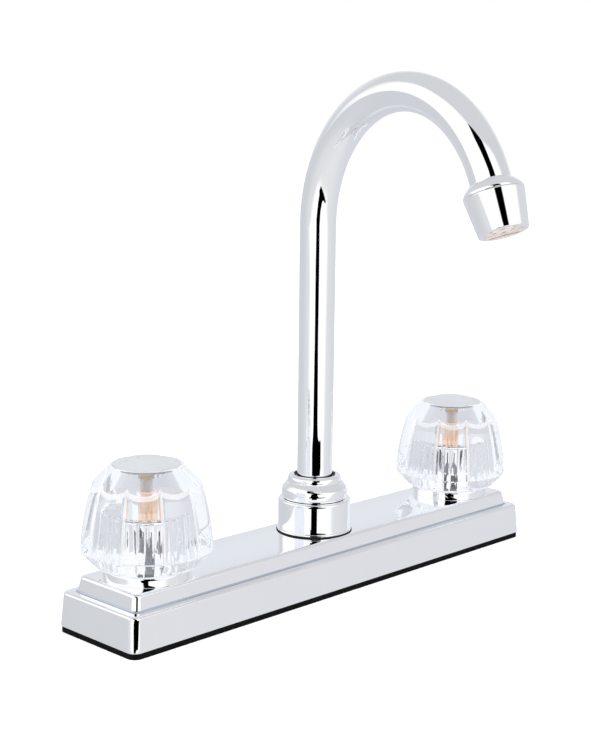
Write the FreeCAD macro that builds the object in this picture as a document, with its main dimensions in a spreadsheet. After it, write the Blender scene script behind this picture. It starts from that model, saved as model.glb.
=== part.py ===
# Kitchen mixer tap for two deck holes, with a gooseneck spout that swivels.
# Millimetres. +X runs along the deck plate to the user's right, the front is -Y and +Z is up.
# The origin is the centre of the gasket's underside, where the tap stands on the deck.
import FreeCAD, Part
import math
import os
import Sketcher

Vector = FreeCAD.Vector
Rotation = FreeCAD.Rotation

# Driving sizes: name, value, meaning
SIZES = (
    ("valve_spacing", 203.2, "between the two handle axes"),
    ("running_gap", 0.05, "radial play of a shaft in its bore"),
    ("loose_gap", 0.3, "play round a piece that only passes through"),
    ("gasket_thickness", 2.5, "foam gasket under the plate"),
    ("gasket_band", 6.0, "width of the gasket's ring"),
    ("gasket_inset", 0.3, "gasket's edge behind the plate's edge"),
    ("plate_length", 260.0, "deck plate along X, at the bottom"),
    ("plate_width", 51.0, "deck plate along Y, at the bottom"),
    ("plate_corner", 4.0, "vertical corner radius of the lower tier"),
    ("plate_wall", 2.2, "wall of the hollow plate"),
    ("lower_height", 15.0, "height of the lower tier"),
    ("lower_draft", 1.0, "lean of the lower tier's wall"),
    ("ledge_width", 4.4, "flat ledge round the upper tier"),
    ("upper_height", 7.0, "height of the upper tier"),
    ("upper_draft", 1.2, "lean of the upper tier's wall"),
    ("lower_edge", 1.3, "rounding of the ledge's outer edge"),
    ("upper_edge", 1.6, "rounding of the plate's top edge"),
    ("crease_corner", 3.0, "vertical corner radius of the upper tier"),
    ("shank_radius", 10.45, "crest of the inlet shank's thread"),
    ("shank_drop", 50.0, "inlet shank below the deck face"),
    ("shank_chamfer", 1.0, "chamfer at the shank's end"),
    ("inlet_length", 15.0, "threaded end of the shank that takes the supply pipe"),
    ("relief_width", 2.0, "relief groove above that end"),
    ("relief_depth", 1.0, "depth of the relief groove"),
    ("waterway_radius", 6.0, "bore of the inlet shank"),
    ("valve_radius", 13.2, "valve body inside the plate"),
    ("valve_lift", 3.0, "valve body's shoulder above the deck face"),
    ("seat_lift", 5.0, "floor of the cartridge bore above the deck face"),
    ("cartridge_radius", 9.5, "cartridge bore of the valve body"),
    ("gallery_depth", 1.7, "depth of the ring-shaped outlet gallery"),
    ("gallery_height", 10.0, "height of the outlet gallery"),
    ("gallery_rise", 2.0, "outlet gallery above the bore's floor"),
    ("neck_radius", 12.0, "threaded neck of the valve body"),
    ("neck_height", 9.5, "neck above the plate's top"),
    ("tube_level", 12.0, "cross tube's axis above the deck face"),
    ("tube_radius", 6.0, "cross tube outside"),
    ("tube_bore", 4.8, "cross tube inside"),
    ("shell_bore", 8.6, "disc chamber of the cartridge shell"),
    ("shell_chamber", 11.0, "height of the disc chamber"),
    ("shell_flange", 3.0, "thickness of the cartridge's clamped flange"),
    ("shell_tower", 12.0, "cartridge shell above its flange"),
    ("shell_window", 9.0, "width of the shell's side windows"),
    ("seal_height", 1.8, "seat seal"),
    ("seal_bore", 5.6, "hole of the seat seal"),
    ("fixed_disc_height", 2.9, "fixed ceramic disc"),
    ("moving_disc_height", 3.0, "moving ceramic disc"),
    ("disc_hub", 2.6, "solid middle of the ceramic discs"),
    ("disc_rim", 1.3, "rim of the fixed disc outside its ports"),
    ("port_angle", 80.0, "each of the two disc ports, in degrees"),
    ("stem_foot", 2.5, "thickness of the stem's foot"),
    ("tongue_width", 3.0, "tongue of the stem in the moving disc"),
    ("tongue_depth", 1.2, "depth of the tongue"),
    ("journal_radius", 4.95, "stem where it turns in the shell"),
    ("ring_wire", 1.5, "thickness of every O-ring"),
    ("ring_level", 36.0, "stem O-ring above the deck face"),
    ("broach_radius", 3.5, "splined top of the stem"),
    ("broach_length", 5.0, "stem inside the knob"),
    ("spline_depth", 0.35, "depth of a spline's groove"),
    ("screw_radius", 2.0, "handle screw's thread"),
    ("screw_grip", 8.0, "screw inside the stem"),
    ("screw_head", 3.7, "radius of the screw's head"),
    ("screw_head_height", 2.6, "height of the screw's head"),
    ("bonnet_flange", 19.1, "radius of the bonnet's flange on the plate"),
    ("bonnet_band", 4.7, "height of the bonnet's flange"),
    ("bonnet_round", 1.5, "rounding of the flange's top edge"),
    ("bonnet_shoulder", 16.6, "radius where the bonnet's neck begins"),
    ("bonnet_neck", 3.3, "height of the bonnet's hollow neck curve"),
    ("bonnet_radius", 13.7, "sleeve of the bonnet"),
    ("bonnet_height", 26.0, "whole bonnet above the plate's top"),
    ("bonnet_edge", 0.8, "rounding of the sleeve's top edge"),
    ("knob_lift", 5.2, "knob's underside above the plate's top"),
    ("knob_gap", 1.5, "knob's roof above the bonnet, and its skirt round it"),
    ("knob_mouth", 17.8, "radius of the knob's open mouth"),
    ("knob_mouth_height", 3.6, "height of the knob's flared mouth"),
    ("knob_base_radius", 22.3, "knob's rim at its underside"),
    ("knob_belly_radius", 28.1, "knob's widest radius, on a lobe"),
    ("knob_belly_height", 9.5, "widest level above the knob's underside"),
    ("knob_waist_radius", 26.9, "lobe radius where the wall starts to slope in"),
    ("knob_waist_height", 18.8, "that level above the knob's underside"),
    ("knob_shoulder_radius", 23.3, "lobe radius at the crown's edge"),
    ("knob_shoulder_height", 34.0, "crown's edge above the knob's underside"),
    ("knob_top_radius", 15.4, "flat rim round the index cap"),
    ("knob_height", 42.8, "whole knob"),
    ("knob_taper_height", 4.6, "height of the tapered foot of the knob"),
    ("knob_taper_radius", 26.4, "radius at the top of the tapered foot"),
    ("lobe_count", 10.0, "convex lobes round the knob"),
    ("lobe_depth", 1.4, "depth of the valleys between the lobes"),
    ("screw_seat", 7.5, "acrylic between the stem and the screw's head"),
    ("counterbore_radius", 5.0, "hole for the screw's head"),
    ("cap_radius", 14.5, "index cap's recess"),
    ("cap_seat", 1.8, "depth of the index cap's recess"),
    ("cap_crown", 2.9, "rise of the index cap's dome"),
    ("cap_plug_wall", 0.9, "wall of the cap's ring-shaped plug"),
    ("cap_plug_depth", 3.0, "depth of the cap's plug"),
    ("boss_radius", 15.0, "spout boss under the plate"),
    ("boss_lift", 4.0, "spout boss above the deck face"),
    ("boss_floor", 2.0, "floor of the mixing chamber"),
    ("chamber_radius", 8.0, "mixing chamber"),
    ("chamber_height", 11.5, "height of the mixing chamber"),
    ("boss_neck_radius", 12.9, "threaded neck of the spout boss"),
    ("boss_neck_height", 11.5, "neck above the plate's top"),
    ("hub_foot_radius", 17.6, "foot ring of the hub"),
    ("hub_foot_height", 1.2, "height of the foot ring"),
    ("hub_radius", 16.8, "hub sleeve"),
    ("hub_height", 15.0, "hub sleeve above the plate's top"),
    ("hub_shoulder", 1.5, "rounding of the hub's shoulder"),
    ("hub_counterbore", 14.3, "upper bore of the hub"),
    ("hub_counterbore_depth", 6.5, "depth of the upper bore"),
    ("bead_radius", 15.2, "bead ring of the spout nut"),
    ("bead_height", 4.0, "height of the bead ring"),
    ("dome_foot_radius", 14.5, "foot of the nut's dome"),
    ("dome_top_radius", 10.4, "top of the nut's dome"),
    ("dome_height", 6.6, "height of the nut's dome"),
    ("dome_curve", 9.0, "radius of the dome's curve"),
    ("lip_radius", 9.9, "lip of the nut round the tube"),
    ("lip_height", 0.9, "height of that lip"),
    ("spout_radius", 8.25, "gooseneck tube outside"),
    ("spout_wall", 1.1, "gooseneck tube wall"),
    ("rise_top", 167.0, "end of the straight riser above the deck face"),
    ("rise_bend", 59.6, "bend radius from the riser to the top"),
    ("fall_bend", 57.8, "bend radius from the top to the outlet"),
    ("fall_angle", 66.5, "turn from the top to the outlet, in degrees"),
    ("swing", 9.8, "swing of the spout to the user's left, in degrees"),
    ("collar_radius", 10.5, "spout collar that turns in the boss"),
    ("collar_flange", 12.5, "collar's thrust flange"),
    ("collar_flange_height", 2.5, "height of the thrust flange"),
    ("collar_play", 0.1, "axial play of the thrust flange"),
    ("ring_groove", 2.2, "width of an O-ring's groove"),
    ("lower_ring_level", 20.5, "lower spout O-ring above the deck face"),
    ("ring_spacing", 7.0, "between the two spout O-rings"),
    ("washer_height", 0.5, "swivel washer"),
    ("outlet_radius", 12.25, "widest radius at the outlet's shoulder"),
    ("outlet_dome", 5.8, "height of the outlet collar's dome"),
    ("outlet_curve", 9.2, "radius of the outlet collar's dome curve"),
    ("outlet_thread_radius", 9.7, "threaded spigot of the outlet collar"),
    ("outlet_thread_length", 4.4, "length of that spigot"),
    ("aerator_length", 15.7, "aerator housing"),
    ("aerator_tip_radius", 10.1, "aerator housing at its end"),
    ("aerator_lip", 1.4, "height of the housing's inner lip"),
    ("aerator_bore", 8.9, "bore that holds the insert"),
    ("aerator_mouth", 8.1, "mouth of the housing"),
    ("aerator_washer_height", 1.4, "rubber washer of the aerator"),
    ("screen_height", 0.8, "wire screen of the aerator"),
    ("jet_radius", 1.1, "holes of the outlet insert"),
    ("jet_circle", 5.2, "circle that those holes lie on"),
    ("deck_thickness", 20.0, "deck that the tap is shown clamped for"),
    ("deck_washer_radius", 18.0, "deck washer outside"),
    ("deck_washer_height", 2.0, "deck washer"),
    ("nut_flats", 31.0, "lock nut across its flats"),
    ("nut_height", 8.0, "lock nut"),
    ("nut_chamfer", 1.2, "chamfer on the nut's corners"),
)
SPLINES = 16
JETS = 8
# Turn of each knob's lobes in degrees, and an octagon's corner as a share of its width
KNOB_PHASE = {"left": 10.8, "right": 4.3}
OCTAGON_CORNER = 0.29
# Radius of the bead's curve as a share of its height, flatter than a half circle
BEAD_FLATNESS = 0.75


class Size:
    """A number together with the sheet expression that gives it."""

    def __init__(self, value, text):
        self.value = float(value)
        self.text = text

    def __add__(self, other):
        other = as_size(other)
        return Size(self.value + other.value, f"({self.text} + {other.text})")

    def __sub__(self, other):
        other = as_size(other)
        return Size(self.value - other.value, f"({self.text} - {other.text})")

    def __mul__(self, other):
        other = as_size(other)
        return Size(self.value * other.value, f"({self.text} * {other.text})")

    def __truediv__(self, other):
        other = as_size(other)
        return Size(self.value / other.value, f"({self.text} / {other.text})")

    def __radd__(self, other):
        return as_size(other) + self

    def __rsub__(self, other):
        return as_size(other) - self

    def __rmul__(self, other):
        return as_size(other) * self

    def __neg__(self):
        return as_size(0) - self


def as_size(number):
    """A plain number as a Size."""
    return number if isinstance(number, Size) else Size(number, repr(float(number)))


class Sizes:
    """The driving sizes, each under its own name."""


doc = FreeCAD.newDocument("KitchenMixerTap")
sheet = doc.addObject("Spreadsheet::Sheet", "Sizes")
s = Sizes()
for row, (alias, number, meaning) in enumerate(SIZES, start=1):
    sheet.set(f"A{row}", alias)
    sheet.set(f"B{row}", str(number))
    sheet.setAlias(f"B{row}", alias)
    sheet.set(f"C{row}", meaning)
    setattr(s, alias, Size(number, f"Sizes.{alias}"))
doc.recompute()

# Levels above the deck face and radii that several pieces share
ledge_level = s.gasket_thickness + s.lower_height
plate_top = ledge_level + s.upper_height
plate_under = plate_top - s.plate_wall
neck_top = plate_top + s.neck_height
flange_top = neck_top + s.shell_flange
shell_top = flange_top + s.shell_tower
seal_top = s.seat_lift + s.seal_height
fixed_disc_top = seal_top + s.fixed_disc_height
moving_disc_foot = fixed_disc_top + s.running_gap
moving_disc_top = moving_disc_foot + s.moving_disc_height
foot_top = moving_disc_top + s.stem_foot
broach_foot = shell_top + s.loose_gap
bonnet_top = plate_top + s.bonnet_height
knob_foot = plate_top + s.knob_lift
knob_roof = bonnet_top + s.knob_gap
broach_top = knob_roof + s.broach_length
screw_seat_level = broach_top + s.screw_seat
cap_level = knob_foot + s.knob_height - s.cap_seat
shell_journal_bore = s.journal_radius + s.running_gap
ring_radius = s.ring_wire / 2
chamber_foot = s.boss_lift + s.boss_floor
chamber_top = chamber_foot + s.chamber_height
boss_neck_top = plate_top + s.boss_neck_height
collar_bore = s.collar_radius + s.running_gap
collar_flange_foot = boss_neck_top + s.collar_play
collar_flange_top = collar_flange_foot + s.collar_flange_height
spout_foot = chamber_top + s.loose_gap
hub_top = plate_top + s.hub_height
bead_top = hub_top + s.bead_height
dome_top = bead_top + s.dome_height
hub_counterbore_foot = hub_top - s.hub_counterbore_depth
valve_offset = s.valve_spacing / 2
upper_inset = s.lower_draft + s.ledge_width

parts = {}


def bind(item, name, size):
    """Give a property its number and tie it to the sheet."""
    size = as_size(size)
    item.setExpression(name, size.text)


def place(item, x=0, y=0, z=0):
    """Move an object, with each offset tied to the sheet."""
    for axis, offset in (("x", x), ("y", y), ("z", z)):
        bind(item, f"Placement.Base.{axis}", offset)


def new_body(name):
    """An empty body."""
    return doc.addObject("PartDesign::Body", name)


def new_sketch(body, name, role, lift=0):
    """A sketch on one of the body's own origin planes, raised by lift."""
    sketch = body.newObject("Sketcher::SketchObject", name)
    planes = [feature for feature in body.Origin.OriginFeatures if feature.Role == role]
    sketch.AttachmentSupport = [(planes[0], "")]
    sketch.MapMode = "FlatFace"
    bind(sketch, "AttachmentOffset.Base.z", lift)
    return sketch


def fix(sketch, geometry, end, x, y):
    """Hold one point of a sketch at x, y."""
    for kind, size in (("DistanceX", as_size(x)), ("DistanceY", as_size(y))):
        index = sketch.addConstraint(Sketcher.Constraint(kind, -1, 1, geometry, end, size.value))
        sketch.setExpression(f"Constraints[{index}]", size.text)


def fix_radius(sketch, geometry, radius):
    """Hold the radius of a circle or an arc."""
    radius = as_size(radius)
    index = sketch.addConstraint(Sketcher.Constraint("Radius", geometry, radius.value))
    sketch.setExpression(f"Constraints[{index}]", radius.text)


def add_arc(sketch, start, end, radius, outward):
    """An arc between two points of an anticlockwise outline, bulging outward or inward."""
    a = Vector(start[0].value, start[1].value, 0)
    b = Vector(end[0].value, end[1].value, 0)
    chord = b - a
    middle = (a + b) * 0.5
    left = Vector(-chord.y, chord.x, 0).normalize()
    reach = math.sqrt(max(radius.value ** 2 - (chord.Length / 2) ** 2, 0))
    centre = middle + left * (reach if outward else -reach)
    first, last = (a, b) if outward else (b, a)
    begin = math.atan2(first.y - centre.y, first.x - centre.x)
    finish = math.atan2(last.y - centre.y, last.x - centre.x)
    if finish <= begin:
        finish += 2 * math.pi
    circle = Part.Circle(centre, Vector(0, 0, 1), radius.value)
    index = sketch.addGeometry(Part.ArcOfCircle(circle, begin, finish), False)
    return (index, 1, 2) if outward else (index, 2, 1)


def outline(sketch, points):
    """A closed anticlockwise outline. A point is (x, y), or (x, y, radius, "out" or "in") before an arc."""
    corners = [tuple(as_size(number) for number in point[:2]) for point in points]
    pieces = []
    for index, point in enumerate(points):
        start, end = corners[index], corners[(index + 1) % len(points)]
        if len(point) == 2:
            first = Vector(start[0].value, start[1].value, 0)
            last = Vector(end[0].value, end[1].value, 0)
            line = Part.LineSegment(first, last)
            pieces.append((sketch.addGeometry(line, False), 1, 2))
        else:
            pieces.append(add_arc(sketch, start, end, as_size(point[2]), point[3] == "out"))
    for index, (geometry, begin, finish) in enumerate(pieces):
        after = pieces[(index + 1) % len(pieces)]
        sketch.addConstraint(Sketcher.Constraint("Coincident", geometry, finish, after[0], after[1]))
        fix(sketch, geometry, begin, *corners[index])
        if len(points[index]) > 2:
            fix_radius(sketch, geometry, points[index][2])


def rounded_rectangle(sketch, length, width, corner):
    """A rectangle about the origin with rounded corners."""
    x, y = length / 2, width / 2
    outline(sketch, [
        (corner - x, -y), (x - corner, -y, corner, "out"),
        (x, corner - y), (x, y - corner, corner, "out"),
        (x - corner, y), (corner - x, y, corner, "out"),
        (-x, y - corner), (-x, corner - y, corner, "out"),
    ])


def circle(sketch, radius, x=0, y=0):
    """A circle with its centre at x, y."""
    x, y, radius = as_size(x), as_size(y), as_size(radius)
    shape = Part.Circle(Vector(x.value, y.value, 0), Vector(0, 0, 1), radius.value)
    index = sketch.addGeometry(shape, False)
    fix(sketch, index, 3, x, y)
    fix_radius(sketch, index, radius)


def turned(name, points):
    """A body turned about Z from a profile of radius and height."""
    body = new_body(name)
    sketch = new_sketch(body, name + "Profile", "XZ_Plane")
    outline(sketch, points)
    turn = body.newObject("PartDesign::Revolution", name + "Turn")
    turn.Profile = sketch
    turn.ReferenceAxis = (sketch, ["V_Axis"])
    turn.Angle = 360
    sketch.Visibility = False
    return body


def loft(body, kind, name, foot, head):
    """A ruled loft between two sketches, added or taken away."""
    feature = body.newObject(f"PartDesign::{kind}Loft", name)
    feature.Profile = foot
    feature.Sections = [head]
    feature.Ruled = True
    return feature


def cylinder(name, radius, height, x=0, y=0, z=0):
    """A plain cylinder along Z."""
    item = doc.addObject("Part::Cylinder", name)
    bind(item, "Radius", radius)
    bind(item, "Height", height)
    place(item, x, y, z)
    return item


def box(name, length, width, height, x, y, z):
    """A plain box from its lowest corner."""
    item = doc.addObject("Part::Box", name)
    bind(item, "Length", length)
    bind(item, "Width", width)
    bind(item, "Height", height)
    place(item, x, y, z)
    return item


def combine(kind, name, base, tool):
    """A boolean of two objects: Cut, Fuse or Common."""
    item = doc.addObject(f"Part::{kind}", name)
    item.Base = base
    item.Tool = tool
    return item


def cut_all(name, base, tools):
    """Take several tools away from a base, one after the other."""
    for number, tool in enumerate(tools, start=1):
        base = combine("Cut", f"{name}Cut{number}", base, tool)
    return base


def keep(node, item):
    """Name a finished sub-part."""
    item.Label = node
    parts[node] = item
    return item


def edges_at(shape, level, inset, reach=0.2):
    """Names of the edges of the plate that lie level at a height and a distance inside its outline."""
    names = []
    x, y = s.plate_length.value / 2 - inset, s.plate_width.value / 2 - inset
    for number, edge in enumerate(shape.Edges, start=1):
        extent = edge.BoundBox
        level_edge = abs(extent.ZMin - level) < reach and abs(extent.ZMax - level) < reach
        on_side = max(abs(extent.XMin), abs(extent.XMax)) > x - reach
        on_face = max(abs(extent.YMin), abs(extent.YMax)) > y - reach
        inside = max(abs(extent.XMin), abs(extent.XMax)) < x + reach
        inside = inside and max(abs(extent.YMin), abs(extent.YMax)) < y + reach
        if level_edge and inside and (on_side or on_face):
            names.append(f"Edge{number}")
    return names


# Deck plate: a hollow shell of two tiers with three holes
def make_escutcheon():
    body = new_body("Escutcheon")

    def tier(name, level, inset, corner):
        sketch = new_sketch(body, name, "XY_Plane", level)
        rounded_rectangle(sketch, s.plate_length - 2 * inset, s.plate_width - 2 * inset, corner)
        return sketch

    top_inset = upper_inset + s.upper_draft
    loft(body, "Additive", "LowerTier",
         tier("LowerFoot", s.gasket_thickness, as_size(0), s.plate_corner),
         tier("LowerHead", ledge_level, s.lower_draft, s.plate_corner))
    loft(body, "Additive", "UpperTier",
         tier("UpperFoot", ledge_level - s.plate_wall, upper_inset, s.crease_corner),
         tier("UpperHead", plate_top, top_inset, s.crease_corner))
    doc.recompute()
    for name, level, inset, radius in (
        ("LedgeEdge", ledge_level, s.lower_draft, s.lower_edge),
        ("TopEdge", plate_top, top_inset, s.upper_edge),
    ):
        base = body.Tip
        fillet = body.newObject("PartDesign::Fillet", name)
        fillet.Base = (base, edges_at(base.Shape, level.value, inset.value))
        bind(fillet, "Radius", radius)
        doc.recompute()
    inner_ledge = ledge_level - s.plate_wall
    corner = s.plate_corner - s.plate_wall / 2
    inner_corner = s.crease_corner - s.plate_wall / 2
    loft(body, "Subtractive", "LowerHollow",
         tier("LowerHollowFoot", s.gasket_thickness, s.plate_wall, corner),
         tier("LowerHollowHead", inner_ledge, s.lower_draft + s.plate_wall, corner))
    loft(body, "Subtractive", "UpperHollow",
         tier("UpperHollowFoot", inner_ledge, upper_inset + s.plate_wall, inner_corner),
         tier("UpperHollowHead", plate_under, top_inset + s.plate_wall, inner_corner))
    holes = new_sketch(body, "HoleCircles", "XY_Plane", plate_top)
    circle(holes, s.neck_radius + s.loose_gap, valve_offset)
    circle(holes, s.neck_radius + s.loose_gap, -valve_offset)
    circle(holes, s.boss_neck_radius + s.loose_gap)
    pocket = body.newObject("PartDesign::Pocket", "Holes")
    pocket.Profile = holes
    pocket.Type = "ThroughAll"
    doc.recompute()
    keep("escutcheon", body)


def make_gasket():
    body = new_body("DeckGasket")
    sketch = new_sketch(body, "GasketRing", "XY_Plane")
    length = s.plate_length - 2 * s.gasket_inset
    width = s.plate_width - 2 * s.gasket_inset
    rounded_rectangle(sketch, length, width, s.plate_corner)
    rounded_rectangle(sketch, length - 2 * s.gasket_band, width - 2 * s.gasket_band, s.plate_corner / 2)
    pad = body.newObject("PartDesign::Pad", "GasketPad")
    pad.Profile = sketch
    bind(pad, "Length", s.gasket_thickness)
    keep("deck_gasket", body)


# Valve body with its inlet shank below and its outlet port towards the spout
def make_valve_body(side, name):
    gallery_foot = s.seat_lift + s.gallery_rise
    gallery_top = gallery_foot + s.gallery_height
    gallery = s.cartridge_radius + s.gallery_depth
    inlet_foot = s.shank_chamfer - s.shank_drop
    inlet_top = inlet_foot + s.inlet_length
    relief = s.shank_radius - s.relief_depth
    body = turned(name + "Turned", [
        (s.waterway_radius, -s.shank_drop),
        (s.shank_radius - s.shank_chamfer, -s.shank_drop),
        (s.shank_radius, inlet_foot),
        (s.shank_radius, inlet_top),
        (relief, inlet_top),
        (relief, inlet_top + s.relief_width),
        (s.shank_radius, inlet_top + s.relief_width),
        (s.shank_radius, s.valve_lift),
        (s.valve_radius, s.valve_lift),
        (s.valve_radius, plate_under),
        (s.neck_radius, plate_under),
        (s.neck_radius, neck_top),
        (s.cartridge_radius, neck_top),
        (s.cartridge_radius, gallery_top),
        (gallery, gallery_top),
        (gallery, gallery_foot),
        (s.cartridge_radius, gallery_foot),
        (s.cartridge_radius, s.seat_lift),
        (s.waterway_radius, s.seat_lift),
    ])
    port = cylinder(name + "Port", s.tube_bore, 2 * s.valve_radius, 0, 0, s.tube_level)
    port.Placement.Rotation = Rotation(Vector(0, 1, 0), -90 * side)
    valve = combine("Cut", name, body, port)
    place(valve, side * valve_offset)
    return valve


def make_cross_tube(side, name):
    """The tube between the spout boss and a valve body, shaped to fit round both."""
    tube = new_body(name + "Pipe")
    ring = new_sketch(tube, name + "Ring", "YZ_Plane")
    circle(ring, s.tube_radius, 0, s.tube_level)
    circle(ring, s.tube_bore, 0, s.tube_level)
    pad = tube.newObject("PartDesign::Pad", name + "Pad")
    pad.Profile = ring
    bind(pad, "Length", valve_offset)
    pad.Reversed = side < 0
    valve = cylinder(name + "Valve", s.valve_radius, plate_under, side * valve_offset)
    boss = cylinder(name + "Boss", s.boss_radius, plate_under)
    return cut_all(name, tube, [valve, boss])


def make_bonnet(side, name):
    flange_round_top = plate_top + s.bonnet_band
    body = turned(name, [
        (s.neck_radius, plate_top),
        (s.bonnet_flange, plate_top),
        (s.bonnet_flange, flange_round_top - s.bonnet_round),
        (s.bonnet_flange - s.bonnet_round, flange_round_top),
        (s.bonnet_shoulder, flange_round_top),
        (s.bonnet_radius, flange_round_top + s.bonnet_neck),
        (s.bonnet_radius, bonnet_top - s.bonnet_edge),
        (s.bonnet_radius - s.bonnet_edge, bonnet_top),
        (s.cartridge_radius, bonnet_top),
        (s.cartridge_radius, flange_top),
        (s.neck_radius, flange_top),
    ])
    place(body, side * valve_offset)
    return body


# Ceramic cartridge: a shell round two discs, the lower one fixed on a rubber seat seal
def make_cartridge_shell(side, name):
    tower = s.cartridge_radius - s.running_gap
    body = turned(name + "Turned", [
        (s.shell_bore, s.seat_lift),
        (s.cartridge_radius, s.seat_lift),
        (s.cartridge_radius, neck_top),
        (s.neck_radius, neck_top),
        (s.neck_radius, flange_top),
        (tower, flange_top),
        (tower, shell_top),
        (shell_journal_bore, shell_top),
        (shell_journal_bore, s.seat_lift + s.shell_chamber),
        (s.shell_bore, s.seat_lift + s.shell_chamber),
    ])
    window = box(name + "Window", s.shell_window, 2 * s.valve_radius, s.moving_disc_height + s.stem_foot,
                 -s.shell_window / 2, -s.valve_radius, moving_disc_foot)
    shell = combine("Cut", name, body, window)
    place(shell, side * valve_offset)
    return shell


def sector(name, inner, outer, foot, height, turn):
    """A wedge-shaped ring piece of the port's angle, centred on the direction turn, in degrees."""
    body = new_body(name)
    sketch = new_sketch(body, name + "Section", "XZ_Plane")
    outline(sketch, [(inner, foot), (outer, foot), (outer, foot + height), (inner, foot + height)])
    sweep = body.newObject("PartDesign::Revolution", name + "Sweep")
    sweep.Profile = sketch
    sweep.ReferenceAxis = (sketch, ["V_Axis"])
    sweep.Angle = s.port_angle.value
    sweep.Midplane = True
    body.Placement.Rotation = Rotation(Vector(0, 0, 1), turn)
    return body


def make_fixed_disc(side, name):
    radius = s.shell_bore - s.running_gap
    disc = cylinder(name + "Blank", radius, s.fixed_disc_height, 0, 0, seal_top)
    ports = [
        sector(f"{name}Port{turn}", s.disc_hub, radius - s.disc_rim, seal_top, s.fixed_disc_height, turn)
        for turn in (0, 180)
    ]
    disc = cut_all(name, disc, ports)
    place(disc, side * valve_offset)
    return disc


def make_moving_disc(side, name):
    radius = s.shell_bore - s.loose_gap
    disc = cylinder(name + "Blank", radius, s.moving_disc_height, 0, 0, moving_disc_foot)
    ports = [
        sector(f"{name}Port{turn}", s.disc_hub, 2 * radius, moving_disc_foot, s.moving_disc_height, turn)
        for turn in (90, 270)
    ]
    slot = box(name + "Slot", 2 * radius, s.tongue_width, s.tongue_depth,
               -radius, -s.tongue_width / 2, moving_disc_top - s.tongue_depth)
    disc = cut_all(name, disc, ports + [slot])
    place(disc, side * valve_offset)
    return disc


def make_seat_seal(side, name):
    radius = s.shell_bore - s.running_gap
    body = turned(name, [
        (s.seal_bore, s.seat_lift), (radius, s.seat_lift), (radius, seal_top), (s.seal_bore, seal_top),
    ])
    place(body, side * valve_offset)
    return body


def make_stem(side, name):
    """Stem with a foot and a tongue below and a splined broach on top."""
    foot_radius = s.shell_bore - s.loose_gap
    groove_foot = s.ring_level - s.ring_groove / 2
    groove_radius = s.journal_radius - s.ring_wire
    body = turned(name + "Turned", [
        (0, moving_disc_top),
        (foot_radius, moving_disc_top),
        (foot_radius, foot_top),
        (s.journal_radius, foot_top),
        (s.journal_radius, groove_foot),
        (groove_radius, groove_foot),
        (groove_radius, groove_foot + s.ring_groove),
        (s.journal_radius, groove_foot + s.ring_groove),
        (s.journal_radius, broach_foot),
        (s.broach_radius, broach_foot),
        (s.broach_radius, broach_top),
        (s.screw_radius, broach_top),
        (s.screw_radius, broach_top - s.screw_grip),
        (0, broach_top - s.screw_grip),
    ])
    groove = new_sketch(body, name + "Groove", "XY_Plane", broach_foot)
    half_width = s.spline_depth * 2
    outline(groove, [
        (s.broach_radius - s.spline_depth, 0),
        (s.broach_radius + s.spline_depth, -half_width),
        (s.broach_radius + s.spline_depth, half_width),
    ])
    pocket = body.newObject("PartDesign::Pocket", name + "GrooveCut")
    pocket.Profile = groove
    bind(pocket, "Length", broach_top - broach_foot)
    pocket.Reversed = True
    around = body.newObject("PartDesign::PolarPattern", name + "Splines")
    around.Originals = [pocket]
    around.Axis = (groove, ["N_Axis"])
    around.Angle = 360
    around.Occurrences = SPLINES
    body.Tip = around
    tongue = box(name + "Tongue", 2 * foot_radius - 2 * s.loose_gap, s.tongue_width, s.tongue_depth,
                 s.loose_gap - foot_radius, -s.tongue_width / 2, moving_disc_top - s.tongue_depth)
    stem = combine("Fuse", name, body, tongue)
    place(stem, side * valve_offset)
    return stem


def ring(name, inner, level):
    """An O-ring squeezed in its groove, so its section is a rectangle with its corners taken off."""
    outer = inner + s.ring_wire
    corner = s.ring_wire * OCTAGON_CORNER
    foot = level - ring_radius
    top = level + ring_radius
    return turned(name, [
        (inner + corner, foot), (outer - corner, foot), (outer, foot + corner), (outer, top - corner),
        (outer - corner, top), (inner + corner, top), (inner, top - corner), (inner, foot + corner),
    ])


def make_stem_ring(side, name):
    item = ring(name, s.journal_radius - s.ring_wire, s.ring_level)
    place(item, side * valve_offset)
    return item


# Clear knob: convex lobes that taper upwards, a sloping crown, and a tapered foot
def lobed_wire(radius, depth, level, count):
    """A closed wire of equal convex arcs, with its lobes at radius and its valleys depth lower."""
    step = 2 * math.pi / count
    arcs = []
    for number in range(count):
        middle = number * step
        points = []
        for turn, reach in ((-step / 2, radius - depth), (0, radius), (step / 2, radius - depth)):
            angle = middle + turn
            points.append(Vector(reach * math.cos(angle), reach * math.sin(angle), level))
        arcs.append(Part.Arc(*points).toShape())
    return Part.Wire(arcs)


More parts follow.
